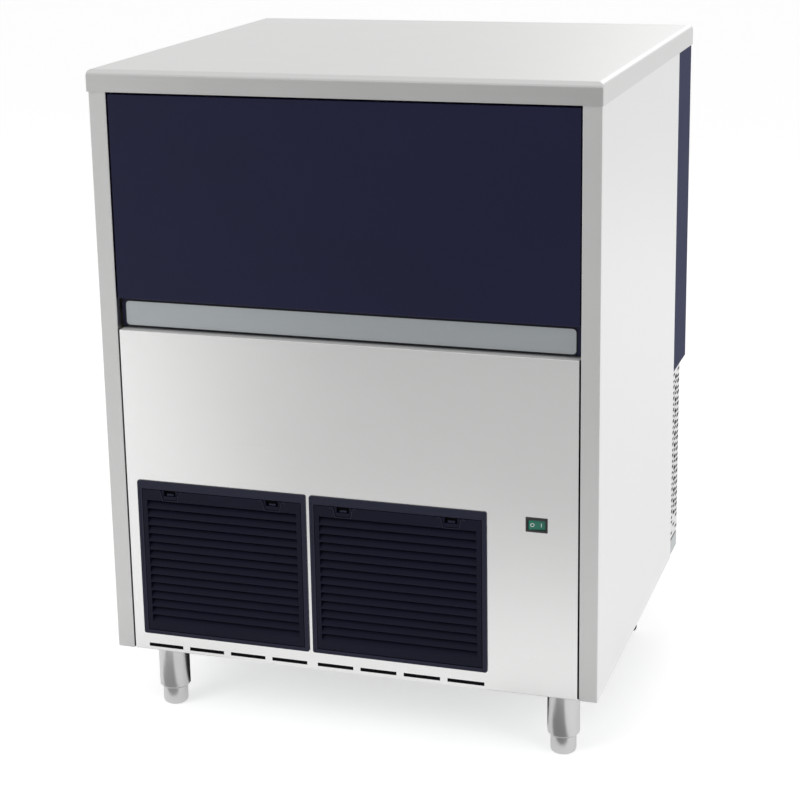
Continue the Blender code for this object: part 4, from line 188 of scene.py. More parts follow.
# Looks of the materials. stretch is the grain per metre along X, Y and Z, so the small number is the way
# the scratches run. scale is the grain of a moulded surface, and gloss its share of mirror light.
finishes = {
    "frontSteel": {"grain": "brushed", "colour": (0.72, 0.72, 0.715), "roughness": 0.24, "metallic": 1.0,
                   "stretch": (12, 12, 1400), "contrast": 0.06, "spread": 0.10, "bump": 0.03, "dust": 0.05},
    # up-facing faces of the lower front panel: a lighter, less metallic copy of the front steel, a painted
    # highlight
    "litLedgeSteel": {"grain": "brushed", "colour": (0.74, 0.74, 0.73), "roughness": 0.55, "metallic": 0.3,
                   "stretch": (12, 900, 900), "contrast": 0.06, "spread": 0.10, "bump": 0.03, "dust": 0.2},
    # front returns of the side panels: grain turned upright, and a darker copy of the side steel's tone as
    # painted shade
    "shadedPostSteel": {"grain": "brushed", "colour": (0.575, 0.575, 0.57), "roughness": 0.50, "metallic": 1.0,
                  "stretch": (1400, 900, 12), "contrast": 0.06, "spread": 0.10, "bump": 0.03, "dust": 0.05},
    # front lip of the top panel: a darker copy of the top's steel, painted shade
    "shadedLipSteel": {"grain": "brushed", "colour": (0.54, 0.54, 0.535), "roughness": 0.34, "metallic": 1.0,
                 "stretch": (12, 900, 1400), "contrast": 0.06, "spread": 0.10, "bump": 0.03, "dust": 0.05},
    "topSteel": {"grain": "brushed", "colour": (0.62, 0.62, 0.615), "roughness": 0.34, "metallic": 1.0,
                 "stretch": (12, 900, 900), "contrast": 0.05, "spread": 0.10, "bump": 0.03, "dust": 0.12},
    "sideSteel": {"grain": "brushed", "colour": (0.72, 0.72, 0.72), "roughness": 0.30, "metallic": 1.0,
                  "stretch": (12, 12, 1200), "contrast": 0.05, "spread": 0.04, "bump": 0.012, "dust": 0.05},
    "plainSteel": {"grain": "brushed", "colour": (0.70, 0.70, 0.70), "roughness": 0.38, "metallic": 1.0,
                   "stretch": (40, 40, 600), "contrast": 0.10, "spread": 0.16, "bump": 0.05, "dust": 0.2},
    "turnedSteel": {"grain": "brushed", "colour": (0.54, 0.54, 0.54), "roughness": 0.25, "metallic": 1.0,
                    "stretch": (60, 60, 2600), "contrast": 0.10, "spread": 0.10, "bump": 0.06, "dust": 0.2},
    # front faces of the galvanised chassis: near-black, painted shade behind the slots of the front panel
    "chassisFrontShade": {"grain": "moulded", "colour": (0.012, 0.012, 0.013), "roughness": 0.55, "metallic": 0.0,
                  "scale": 500, "contrast": 0.2, "spread": 0.1, "bump": 0.1, "dust": 0.3},
    "zincSheet": {"grain": "moulded", "colour": (0.50, 0.52, 0.53), "roughness": 0.46, "metallic": 1.0,
                  "scale": 90, "contrast": 0.35, "spread": 0.3, "bump": 0.04, "dust": 0.5},
    "navyPlastic": {"grain": "moulded", "colour": (0.0052, 0.0058, 0.0290), "roughness": 0.42,
                    "metallic": 0.0, "scale": 950, "contrast": 0.35, "spread": 0.12, "bump": 0.16,
                    "dust": 0.0, "gloss": 0.22},
    "grillePlastic": {"grain": "moulded", "colour": (0.0085, 0.0100, 0.0260), "roughness": 0.46,
                      "metallic": 0.0, "scale": 1100, "contrast": 0.30, "spread": 0.12, "bump": 0.14,
                      "dust": 0.02, "gloss": 0.25},
    "slatPlastic": {"grain": "moulded", "colour": (0.0030, 0.0038, 0.0130), "roughness": 0.50,
                    "metallic": 0.0, "scale": 1100, "contrast": 0.30, "spread": 0.12, "bump": 0.14,
                    "dust": 0.0, "gloss": 0.14},
    "bluePaint": {"grain": "moulded", "colour": (0.040, 0.045, 0.098), "roughness": 0.60, "metallic": 0.0,
                  "scale": 420, "contrast": 0.16, "spread": 0.10, "bump": 0.08, "dust": 0.05, "gloss": 0.03},
    "stripFoil": {"grain": "brushed", "colour": (0.37, 0.395, 0.41), "roughness": 0.34, "metallic": 0.75,
                  "stretch": (14, 900, 900), "contrast": 0.10, "spread": 0.10, "bump": 0.03, "dust": 0.0},
    "trimBlack": {"grain": "moulded", "colour": (0.020, 0.021, 0.024), "roughness": 0.5, "metallic": 0.0,
                  "scale": 900, "contrast": 0.2, "spread": 0.1, "bump": 0.05, "dust": 0.0, "gloss": 0.25},
    "screwSteel": {"grain": "brushed", "colour": (0.60, 0.60, 0.60), "roughness": 0.28, "metallic": 1.0,
                   "stretch": (900, 900, 900), "contrast": 0.15, "spread": 0.2, "bump": 0.05, "dust": 0.1},
    "binPlastic": {"grain": "moulded", "colour": (0.78, 0.79, 0.79), "roughness": 0.34, "metallic": 0.0,
                   "scale": 500, "contrast": 0.06, "spread": 0.12, "bump": 0.04, "dust": 0.0},
    "foamSkin": {"grain": "moulded", "colour": (0.74, 0.63, 0.38), "roughness": 0.86, "metallic": 0.0,
                 "scale": 260, "contrast": 0.45, "spread": 0.1, "bump": 0.55, "dust": 0.0},
    "greyPlastic": {"grain": "moulded", "colour": (0.40, 0.41, 0.42), "roughness": 0.48, "metallic": 0.0,
                    "scale": 900, "contrast": 0.10, "spread": 0.12, "bump": 0.08, "dust": 0.2},
    "blackPlastic": {"grain": "moulded", "colour": (0.017, 0.017, 0.018), "roughness": 0.42, "metallic": 0.0,
                     "scale": 1200, "contrast": 0.25, "spread": 0.12, "bump": 0.10, "dust": 0.25},
    "castBlack": {"grain": "moulded", "colour": (0.030, 0.031, 0.033), "roughness": 0.46, "metallic": 0.0,
                  "scale": 300, "contrast": 0.35, "spread": 0.2, "bump": 0.25, "dust": 0.5},
    "hoseRubber": {"grain": "moulded", "colour": (0.022, 0.022, 0.022), "roughness": 0.70, "metallic": 0.0,
                   "scale": 800, "contrast": 0.25, "spread": 0.12, "bump": 0.15, "dust": 0.4},
    "copperTube": {"grain": "moulded", "colour": (0.72, 0.36, 0.21), "roughness": 0.30, "metallic": 1.0,
                   "scale": 120, "contrast": 0.40, "spread": 0.3, "bump": 0.05, "dust": 0.2},
    "castAluminium": {"grain": "moulded", "colour": (0.60, 0.61, 0.62), "roughness": 0.44, "metallic": 1.0,
                      "scale": 420, "contrast": 0.20, "spread": 0.2, "bump": 0.20, "dust": 0.3},
    "finAluminium": {"grain": "brushed", "colour": (0.66, 0.67, 0.68), "roughness": 0.36, "metallic": 1.0,
                     "stretch": (60, 60, 900), "contrast": 0.15, "spread": 0.15, "bump": 0.05, "dust": 0.4},
    "yellowBrass": {"grain": "moulded", "colour": (0.70, 0.50, 0.22), "roughness": 0.32, "metallic": 1.0,
                    "scale": 500, "contrast": 0.15, "spread": 0.2, "bump": 0.06, "dust": 0.1},
    "greenLens": {"grain": "moulded", "colour": (0.006, 0.150, 0.098), "roughness": 0.16, "metallic": 0.0,
                  "scale": 300, "contrast": 0.20, "spread": 0.05, "bump": 0.02, "dust": 0.0},
    "markWhite": {"grain": "moulded", "colour": (0.72, 0.74, 0.73), "roughness": 0.5, "metallic": 0.0,
                  "scale": 900, "contrast": 0.05, "spread": 0.1, "bump": 0.02, "dust": 0.0},
    # near-black and nearly without gloss: painted shade, set into gaps, slots and recesses
    "paintedShade": {"grain": "moulded", "colour": (0.003, 0.003, 0.004), "roughness": 0.7, "metallic": 0.0,
                      "scale": 900, "contrast": 0.2, "spread": 0.1, "bump": 0.05, "dust": 0.0, "gloss": 0.05},
}


bumpDepth = 0.0004


def makeFinish(name):
    spec = finishes[name]
    mat = bpy.data.materials.new(name)
    mat.use_nodes = True
    tree = mat.node_tree
    shader = tree.nodes["Principled BSDF"]
    place = addNode(tree, "ShaderNodeTexCoord").outputs["Object"]
    if spec["grain"] == "brushed":
        along = addNode(tree, "ShaderNodeMapping", {"Vector": place, "Scale": spec["stretch"]}).outputs[0]
        grain = addNode(tree, "ShaderNodeGroup", node_tree=brushedGrain)
        tree.links.new(along, grain.inputs["Along"])
    else:
        grain = addNode(tree, "ShaderNodeGroup", node_tree=mouldedGrain)
        grain.inputs["Grain"].default_value = spec["scale"]
    tree.links.new(place, grain.inputs["Place"])
    grain.inputs["Colour"].default_value = (*spec["colour"], 1.0)
    for key in ("contrast", "roughness", "spread"):
        grain.inputs[key.capitalize()].default_value = spec[key]
    dust = addNode(tree, "ShaderNodeGroup", node_tree=settledDust)
    dust.inputs["Amount"].default_value = spec["dust"]
    for key in ("Colour", "Roughness"):
        tree.links.new(grain.outputs[key], dust.inputs[key])
    tree.links.new(place, dust.inputs["Place"])
    tree.links.new(dust.outputs["Colour"], shader.inputs["Base Color"])
    tree.links.new(dust.outputs["Roughness"], shader.inputs["Roughness"])
    shader.inputs["Metallic"].default_value = spec["metallic"]
    shader.inputs["Specular IOR Level"].default_value = spec.get("gloss", 0.5)
    bump = addNode(tree, "ShaderNodeBump", {"Strength": spec["bump"], "Distance": bumpDepth,
                                            "Height": grain.outputs["Height"]})
    tree.links.new(bump.outputs[0], shader.inputs["Normal"])
    return mat


finish = {name: makeFinish(name) for name in finishes}
print("finishes made:", len(finish))

# which finish each node of the frame takes
finishOf = {
    "frontSteel": ["lower_front_panel"],
    "topSteel": ["top_panel"],
    "sideSteel": ["side_panel_left", "side_panel_right"],
    "plainSteel": ["lower_rear_cover", "bin_sensor_tube", "freezing_barrel", "auger", "outlet_head"],
    "turnedSteel": ["foot_tube_front_left", "foot_tube_front_right", "foot_tube_rear_left",
                    "foot_tube_rear_right", "foot_front_left", "foot_front_right", "foot_rear_left",
                    "foot_rear_right"],
    "zincSheet": ["base_chassis", "bin_support_left", "bin_support_right", "rear_bulkhead",
                  "compressor_bracket"],
    "navyPlastic": ["door_panel"],
    "grillePlastic": ["grille_frame_left", "grille_frame_right"],
    "slatPlastic": ["grille_panel_left", "grille_panel_right"],
    "bluePaint": ["upper_rear_cover"],
    "trimBlack": ["door_grip_strip"],
    "binPlastic": ["bin_liner", "top_foam_board", "door_track_left", "door_track_right", "ice_chute",
                   "water_reservoir", "reservoir_lid"],
    "foamSkin": ["bin_foam", "barrel_foam"],
    "greyPlastic": ["bin_sill", "bin_drain", "door_roller_left", "door_roller_right", "electrical_box",
                    "drain_hose", "drain_outlet"],
    "blackPlastic": ["switch_housing", "fan_shroud", "fan", "cable_gland"],
    "castBlack": ["compressor", "fan_motor"],
    "hoseRubber": ["reservoir_hose"],
    "copperTube": ["discharge_pipe", "filter_drier", "suction_pipe"],
    "castAluminium": ["gearmotor", "float_arm"],
    "finAluminium": ["condenser"],
    "yellowBrass": ["water_inlet"],
    "greenLens": ["switch_rocker"],
}
bodyOf = {member: body for body, members in frame["record"]["behaviour"]["bodies"].items()
          for member in members}


def givePiece(obj, finishName, body, stands=()):
    obj.data.materials.clear()
    obj.data.materials.append(finish[finishName])
    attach(obj, body)
    if stands:
        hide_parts(*stands)
    return obj


def newPiece(name, bm):
    mesh = bpy.data.meshes.new(name)
    bm.to_mesh(mesh)
    bm.free()
    obj = bpy.data.objects.new(name, mesh)
    scene.collection.objects.link(obj)
    return obj


def smoothByAngle(mesh, degrees):
    for face in mesh.polygons:
        face.use_smooth = True
    mesh.set_sharp_from_angle(angle=math.radians(degrees))


def applyModifiers(obj):
    evaluated = obj.evaluated_get(bpy.context.evaluated_depsgraph_get())
    mesh = bpy.data.meshes.new_from_object(evaluated)
    old = obj.data
    obj.modifiers.clear()
    obj.data = mesh
    bpy.data.meshes.remove(old)


# A merged copy of a node: flat facets joined, hard edges eased, curves shaded smooth.
def dressNode(node, edge=0.0, segments=2, sharp=32.0):
    source = nodes[node]
    bm = bmesh.new()
    bm.from_mesh(source.data)
    bmesh.ops.remove_doubles(bm, verts=bm.verts, dist=1e-6)
    bmesh.ops.dissolve_limit(bm, angle_limit=math.radians(0.4), verts=bm.verts, edges=bm.edges)
    obj = newPiece("dressed_" + node, bm)
    if edge > 0.0:
        bevel = obj.modifiers.new("easedEdge", "BEVEL")
        bevel.width = edge
        bevel.segments = segments
        bevel.limit_method = "ANGLE"
        bevel.angle_limit = math.radians(sharp)
        bevel.use_clamp_overlap = True
        applyModifiers(obj)
    smoothByAngle(obj.data, sharp)
    # large flat faces keep their own normal beside a fold
    weigh = obj.modifiers.new("flatFacesFirst", "WEIGHTED_NORMAL")
    weigh.mode = "FACE_AREA"
    weigh.weight = 100
    weigh.keep_sharp = True
    applyModifiers(obj)
    return obj


# Faces of a dressed node that look one way take a second finish: on the side panels' front returns a darker
# copy with upright grain and on the top's lip a darker copy, both painted shade; on the chassis front
# near-black, painted shade; on the lower front panel's top a lighter, less metallic copy, a painted
# highlight.
def finishTowards(obj, way, least, finishName):
    obj.data.materials.append(finish[finishName])
    for face in obj.data.polygons:
        if face.normal.dot(Vector(way)) > least:
            face.material_index = len(obj.data.materials) - 1


# eased edge in metres for each dressed node
easedEdge = {
    "top_panel": 0.0, "base_chassis": 0.0, "side_panel_left": 0.0003, "side_panel_right": 0.0003,
    "lower_front_panel": 0.0002, "door_panel": 0.0, "door_grip_strip": 0.0004,
    "grille_frame_left": 0.0005, "grille_frame_right": 0.0005, "grille_panel_left": 0.0003,
    "grille_panel_right": 0.0003, "switch_housing": 0.0004,
    "switch_rocker": 0.0005, "foot_tube_front_left": 0.0004, "foot_tube_front_right": 0.0004,
    "foot_tube_rear_left": 0.0004, "foot_tube_rear_right": 0.0004, "foot_front_left": 0.0004,
    "foot_front_right": 0.0004, "foot_rear_left": 0.0004, "foot_rear_right": 0.0004,
    "upper_rear_cover": 0.0003, "lower_rear_cover": 0.0, "bin_liner": 0.0, "bin_sill": 0.0008,
    "bin_drain": 0.0004, "bin_sensor_tube": 0.0, "door_roller_left": 0.0004, "door_roller_right": 0.0004,
    "fan_motor": 0.0005, "fan": 0.0004, "fan_shroud": 0.0, "compressor": 0.0008,
    "compressor_bracket": 0.0004, "discharge_pipe": 0.0, "filter_drier": 0.0, "suction_pipe": 0.0,
    "gearmotor": 0.0008, "freezing_barrel": 0.0, "auger": 0.0, "outlet_head": 0.0008, "ice_chute": 0.0005,
    "water_reservoir": 0.0004, "reservoir_lid": 0.0004, "reservoir_hose": 0.0, "float_arm": 0.0004,
    "drain_hose": 0.0, "drain_outlet": 0.0005, "water_inlet": 0.0005, "cable_gland": 0.0005,
    "electrical_box": 0.0006,
}

dressed = {}
for finishName, members in finishOf.items():
    for node in members:
        if node in easedEdge:
            dressed[node] = dressNode(node, easedEdge[node])
            givePiece(dressed[node], finishName, bodyOf[node], [node])
        else:
            nodes[node].data.materials.clear()
            nodes[node].data.materials.append(finish[finishName])
# the front returns of the side panels take a darker copy of the steel: painted shade
for node in ("side_panel_left", "side_panel_right"):
    finishTowards(dressed[node], (0, -1, 0), 0.5, "shadedPostSteel")
# the top panel's front lip takes a darker copy of its steel: painted shade
finishTowards(dressed["top_panel"], (0, -1, 0), 0.9, "shadedLipSteel")
# the chassis front takes near-black: painted shade behind the front panel's slots
finishTowards(dressed["base_chassis"], (0, -1, 0), 0.9, "chassisFrontShade")
# the lower front panel's top faces take a lighter, less metallic copy of its steel: a painted highlight
finishTowards(dressed["lower_front_panel"], (0, 0, 1), 0.6, "litLedgeSteel")
print("nodes dressed")


# Geometry Nodes: an item repeated over rows and columns. Every second column may be shifted. The result is
# realised, given its material, and turned into a plain mesh at the origin.
def makeRepeatTree():
    tree = bpy.data.node_groups.new("repeatItem", "GeometryNodeTree")
    tree.is_modifier = True
    kinds = [("Item", "Object", None), ("Start", "Vector", (0.0, 0.0, 0.0)),
             ("Column Step", "Vector", (0.01, 0.0, 0.0)), ("Row Step", "Vector", (0.0, 0.0, 0.01)),
             ("Columns", "Int", 1), ("Rows", "Int", 1), ("Shift", "Vector", (0.0, 0.0, 0.0)),
             ("Turn Spread", "Vector", (0.0, 0.0, 0.0)), ("Seed", "Int", 1), ("Finish", "Material", None)]
    for label, kind, value in kinds:
        socket = tree.interface.new_socket(label, in_out="INPUT", socket_type="NodeSocket" + kind)
        if value is not None:
            socket.default_value = value
    tree.interface.new_socket("Geometry", in_out="OUTPUT", socket_type="NodeSocketGeometry")
    given = tree.nodes.new("NodeGroupInput").outputs
    result = tree.nodes.new("NodeGroupOutput").inputs
    count = doMath(tree, "MULTIPLY", given["Columns"], given["Rows"])
    line = addNode(tree, "GeometryNodePoints", {"Count": count}).outputs[0]
    index = addNode(tree, "GeometryNodeInputIndex").outputs[0]
    row = doMath(tree, "FLOOR", doMath(tree, "DIVIDE", index, given["Columns"]))
    column = doMath(tree, "SUBTRACT", index, doMath(tree, "MULTIPLY", row, given["Columns"]))
    odd = doMath(tree, "MODULO", column, 2.0)
    place = given["Start"]
    for amount, step in ((column, "Column Step"), (row, "Row Step"), (odd, "Shift")):
        moved = addNode(tree, "ShaderNodeVectorMath", {0: given[step], "Scale": amount}, operation="SCALE")
        place = addNode(tree, "ShaderNodeVectorMath", {0: place, 1: moved.outputs[0]},
                        operation="ADD").outputs[0]
    put = addNode(tree, "GeometryNodeSetPosition", {"Geometry": line, "Position": place}).outputs[0]
    low = addNode(tree, "ShaderNodeVectorMath", {0: given["Turn Spread"], "Scale": -1.0}, operation="SCALE")
    turn = addNode(tree, "FunctionNodeRandomValue", {0: low.outputs[0], 1: given["Turn Spread"],
                                                     "Seed": given["Seed"]}, data_type="FLOAT_VECTOR")
    item = addNode(tree, "GeometryNodeObjectInfo", {"Object": given["Item"]}).outputs["Geometry"]
    many = addNode(tree, "GeometryNodeInstanceOnPoints", {"Points": put, "Instance": item,
                                                          "Rotation": turn.outputs[0]}).outputs[0]
    real = addNode(tree, "GeometryNodeRealizeInstances", {0: many}).outputs[0]
    coated = addNode(tree, "GeometryNodeSetMaterial", {"Geometry": real, "Material": given["Finish"]})
    tree.links.new(coated.outputs[0], result["Geometry"])
    return tree


repeatTree = makeRepeatTree()


def repeatItem(name, item, finishName, layouts):
    holder = bpy.data.objects.new(name, bpy.data.meshes.new(name))
    scene.collection.objects.link(holder)
    mesh = bmesh.new()
    for number, layout in enumerate(layouts):
        modifier = holder.modifiers.new("repeat", "NODES")
        values = {"Item": item, "Finish": finish[finishName], "Seed": number + 1, **layout}
        modifier.node_group = repeatTree
        for socket in repeatTree.interface.items_tree:
            if socket.in_out == "INPUT" and socket.name in values:
                modifier[socket.identifier] = values[socket.name]
        holder.data.update()
        part = bpy.data.meshes.new_from_object(
            holder.evaluated_get(bpy.context.evaluated_depsgraph_get()))
        mesh.from_mesh(part)
        holder.modifiers.clear()
        bpy.data.meshes.remove(part)
    bpy.data.objects.remove(holder)
    return newPiece(name, mesh)


def boxInto(bm, low, high):
    size = [b - a for a, b in zip(low, high)]
    centre = [(a + b) / 2 for a, b in zip(low, high)]
    bmesh.ops.create_cube(bm, size=1.0, matrix=Matrix.Translation(centre) @ Matrix.Diagonal((*size, 1.0)))


# A prism from an outline given in a plane, two axes of it, and a run along the third.
def prismInto(bm, outline, low, high, axes=(0, 2)):
    third = 3 - sum(axes)
    rings = []
    for level in (low, high):
        ring = []
        for point in outline:
            place = [0.0, 0.0, 0.0]
            place[axes[0]], place[axes[1]], place[third] = point[0], point[1], level
            ring.append(bm.verts.new(place))
        rings.append(ring)
    bm.faces.new(rings[0])
    bm.faces.new(rings[1][::-1])
    count = len(outline)
    for step in range(count):
        after = (step + 1) % count
        bm.faces.new((rings[0][step], rings[1][step], rings[1][after], rings[0][after]))
    bmesh.ops.recalc_face_normals(bm, faces=bm.faces)


def roundedSlot(width, height, steps=6):
    radius, half = height / 2, width / 2 - height / 2
    outline = []
    for side in (1, -1):
        for step in range(steps + 1):
            angle = side * math.pi / 2 - math.pi * step / steps
            outline.append((side * half + radius * math.cos(angle), radius * math.sin(angle)))
    return outline


# slots through both sides and the back of the lower rear cover, in staggered columns
slotField = {"length": 0.0175, "height": 0.0042, "columnStep": 0.0205, "rowStep": 0.0098, "rows": 25,
             "sideStartY": 0.2432, "startZ": 0.1760, "reach": 0.004, "sideColumns": 3, "backColumns": 27}


def cutRearSlots():
    spec = slotField
    cover = dressed["lower_rear_cover"]
    low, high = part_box("lower_rear_cover")
    outline = roundedSlot(spec["length"], spec["height"])
    items = {}
    for name, axes in (("sideSlot", (1, 2)), ("backSlot", (0, 2))):
        bm = bmesh.new()
        prismInto(bm, outline, -spec["reach"], spec["reach"], axes)
        items[name] = newPiece(name, bm)
    stagger = (0.0, 0.0, spec["rowStep"] / 2)
    rows = {"Row Step": (0.0, 0.0, spec["rowStep"]), "Rows": spec["rows"], "Shift": stagger}
    sides = repeatItem("sideSlots", items["sideSlot"], "plainSteel", [
        {"Start": (x, spec["sideStartY"], spec["startZ"]), "Column Step": (0.0, spec["columnStep"], 0.0),
         "Columns": spec["sideColumns"], **rows} for x in (low[0], high[0])])
    width = (spec["backColumns"] - 1) * spec["columnStep"]
    back = repeatItem("backSlots", items["backSlot"], "plainSteel", [
        {"Start": (-width / 2, high[1], spec["startZ"]), "Column Step": (spec["columnStep"], 0.0, 0.0),
         "Columns": spec["backColumns"], **rows}])
    for cutter in (sides, back):
        cut = cover.modifiers.new("slots", "BOOLEAN")
        cut.operation = "DIFFERENCE"
        cut.solver = "EXACT"
        cut.object = cutter
    applyModifiers(cover)
    for scrap in (sides, back, *items.values()):
        bpy.data.objects.remove(scrap)


cutRearSlots()
print("rear slots cut")


# how far a piece laid on a face sinks into it
sinkDepth = 0.0001


# A ring or bar laid on the front of a dressed node: its back sinks a little, its front stands proud.
def layOnFront(bm, target, lift):
    tree = BVHTree.FromPolygons([v.co for v in target.data.vertices],
                                [face.vertices for face in target.data.polygons])
    for vert in bm.verts:
        # the ray starts half a metre in front of the middle, clear of the machine
        hit = tree.ray_cast(Vector((vert.co.x, -0.5, vert.co.z)), Vector((0, 1, 0)))[0]
        if hit:
            vert.co.y = hit.y - lift if vert.co.y < 0.0 else hit.y + sinkDepth


def ringInto(bm, outer, inner, low, high):
    count = len(outer)
    rings = [[bm.verts.new((x, y, z)) for x, z in outline] for outline in (outer, inner) for y in (low, high)]
    for a, b in ((0, 1), (1, 3), (3, 2), (2, 0)):
        for step in range(count):
            after = (step + 1) % count
            bm.faces.new((rings[a][step], rings[b][step], rings[b][after], rings[a][after]))
    bmesh.ops.recalc_face_normals(bm, faces=bm.faces)


def circle(radius, steps, x=0.0, z=0.0):
    angles = [2 * math.pi * step / steps for step in range(steps)]
    return [(x + radius * math.cos(angle), z + radius * math.sin(angle)) for angle in angles]


def clippedRectangle(halfX, halfZ, corner, x=0.0, z=0.0):
    points = [(halfX, halfZ - corner), (halfX - corner, halfZ), (-halfX + corner, halfZ),
              (-halfX, halfZ - corner), (-halfX, -halfZ + corner), (-halfX + corner, -halfZ),
              (halfX - corner, -halfZ), (halfX, -halfZ + corner)]
    return [(x + px, z + pz) for px, pz in points]


def roundedRectangle(halfX, halfZ, radius, x=0.0, z=0.0, steps=6):
    outline = []
    for corner, (sx, sz) in enumerate(((1, 1), (-1, 1), (-1, -1), (1, -1))):
        for step in range(steps + 1):
            angle = math.pi / 2 * (corner + step / steps)
            outline.append((x + sx * (halfX - radius) + radius * math.cos(angle),
                            z + sz * (halfZ - radius) + radius * math.sin(angle)))
    return outline


# O and I of the switch, and the raised lip of its frame
switchMarks = {"spread": 0.0062, "ringRadius": 0.0027, "ringWidth": 0.00075, "ringSides": 28,
               "barHeight": 0.0052, "barWidth": 0.0009, "barCorner": 0.0003, "reach": 0.001,
               "lift": 0.00016, "lipHalf": (0.01395, 0.0088), "lipWidth": 0.0012, "lipHeight": 0.0007,
               "outerCorner": 0.0022, "innerCorner": 0.0004}


def makeSwitchMarks():
    spec = switchMarks
    low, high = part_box("switch_rocker")
    x, z = (low[0] + high[0]) / 2, (low[2] + high[2]) / 2
    for name, side in (("switchMarkOff", -1), ("switchMarkOn", 1)):
        bm = bmesh.new()
        at, sides, reach = x + side * spec["spread"], spec["ringSides"], spec["reach"]
        if side < 0:
            ringInto(bm, circle(spec["ringRadius"], sides, at, z),
                     circle(spec["ringRadius"] - spec["ringWidth"], sides, at, z), -reach, reach)
        else:
            half = (spec["barWidth"] / 2, spec["barHeight"] / 2)
            prismInto(bm, roundedRectangle(*half, spec["barCorner"], at, z, 3), -reach, reach)
        layOnFront(bm, dressed["switch_rocker"], spec["lift"])
        givePiece(newPiece(name, bm), "markWhite", bodyOf["switch_rocker"])
    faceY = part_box("switch_housing")[0][1]
    bm = bmesh.new()
    halfX, halfZ = spec["lipHalf"]
    ringInto(bm, clippedRectangle(halfX, halfZ, spec["outerCorner"], x, z),
             clippedRectangle(halfX - spec["lipWidth"], halfZ - spec["lipWidth"], spec["innerCorner"], x, z),
             faceY - spec["lipHeight"], faceY + sinkDepth)
    givePiece(newPiece("switchLip", bm), "blackPlastic", bodyOf["switch_housing"])


# finger clips at the top of both grille panels: a raised rim, two ears, a latch in a window, and a near-black
# sheet at the back of the window as painted shade
clipFitting = {"spread": 0.080, "topGap": 0.0004, "rimTop": 0.0156, "rimBottom": 0.0120,
               "rimDrop": 0.0158, "rimWidth": 0.0010, "rimHeight": 0.0006, "earHalf": 0.0215,
               "earHeight": 0.0012, "tipWidth": 0.0009, "tipDrop": 2.4, "windowWidth": 0.0184,
               "windowHeight": 0.0079, "windowDepth": 0.0058, "shadeSheet": 0.0002, "windowGap": 0.0003,
               "latchHalf": 0.0052, "latchFront": 0.0022, "latchHeight": 0.0030}


def makeClips(side):
    spec = clipFitting
    low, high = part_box("grille_panel_" + side)
    centre, faceY, top = (low[0] + high[0]) / 2, low[1], high[2]
    start = (centre - spec["spread"], faceY, top)
    layout = {"Start": start, "Column Step": (2 * spec["spread"], 0.0, 0.0), "Columns": 2, "Rows": 1}
    proud, edge = -spec["rimHeight"], -spec["topGap"]
    bm = bmesh.new()
    wide, narrow, drop, rim = spec["rimTop"], spec["rimBottom"], spec["rimDrop"], spec["rimWidth"]
    outline = [(wide, edge), (narrow, -drop), (-narrow, -drop), (-wide, edge), (-wide + rim, edge),
               (-narrow + rim, -drop + rim), (narrow - rim, -drop + rim), (wide - rim, edge)]
    prismInto(bm, outline, proud, sinkDepth)
    for way in (-1, 1):
        ends = sorted((way * (wide - rim), way * spec["earHalf"]))
        boxInto(bm, (ends[0], proud, edge - spec["earHeight"]), (ends[1], sinkDepth, edge))
        tips = sorted((way * (spec["earHalf"] - spec["tipWidth"]), way * spec["earHalf"]))
        boxInto(bm, (tips[0], proud, -spec["tipDrop"] * spec["earHeight"]), (tips[1], sinkDepth, edge))
    latch, sill = spec["latchHalf"], -spec["windowHeight"]
    boxInto(bm, (-latch, spec["latchFront"], sill), (latch, spec["windowDepth"], sill + spec["latchHeight"]))
    item = newPiece("clipItem", bm)
    givePiece(repeatItem("gripClips_" + side, item, "grillePlastic", [layout]), "grillePlastic",
              bodyOf["grille_panel_" + side])
    bpy.data.objects.remove(item)
    # a near-black sheet at the back of each clip's window: painted shade in the recess
    bm = bmesh.new()
    half = spec["windowWidth"] / 2
    boxInto(bm, (-half, spec["windowDepth"] - spec["shadeSheet"], sill),
            (half, spec["windowDepth"], -spec["windowGap"]))
    item = newPiece("windowItem", bm)
    givePiece(repeatItem("clipWindows_" + side, item, "paintedShade", [layout]), "paintedShade",
              bodyOf["grille_panel_" + side])
    bpy.data.objects.remove(item)


# foil on the grip strip, and near-black strips as painted shade: in the gaps beside the front panel, and
# behind the floor slots
frontTrimAndShade = {"foilInset": 0.0011, "foilCorner": 0.0052, "foilHeight": 0.00025, "shadeStripGap": 0.0002,
             "shadeStripWidth": 0.0016, "shadeStripInset": 0.001, "shadeStripFront": -0.3392, "shadeStripBack": -0.3360,
             "slotShadeFront": -0.3402, "slotShadeBack": -0.3396,
             "slotShadeSpans": ((-0.3175, -0.0590), (-0.0495, 0.2065)), "slotShadeZ": (0.1132, 0.1228)}


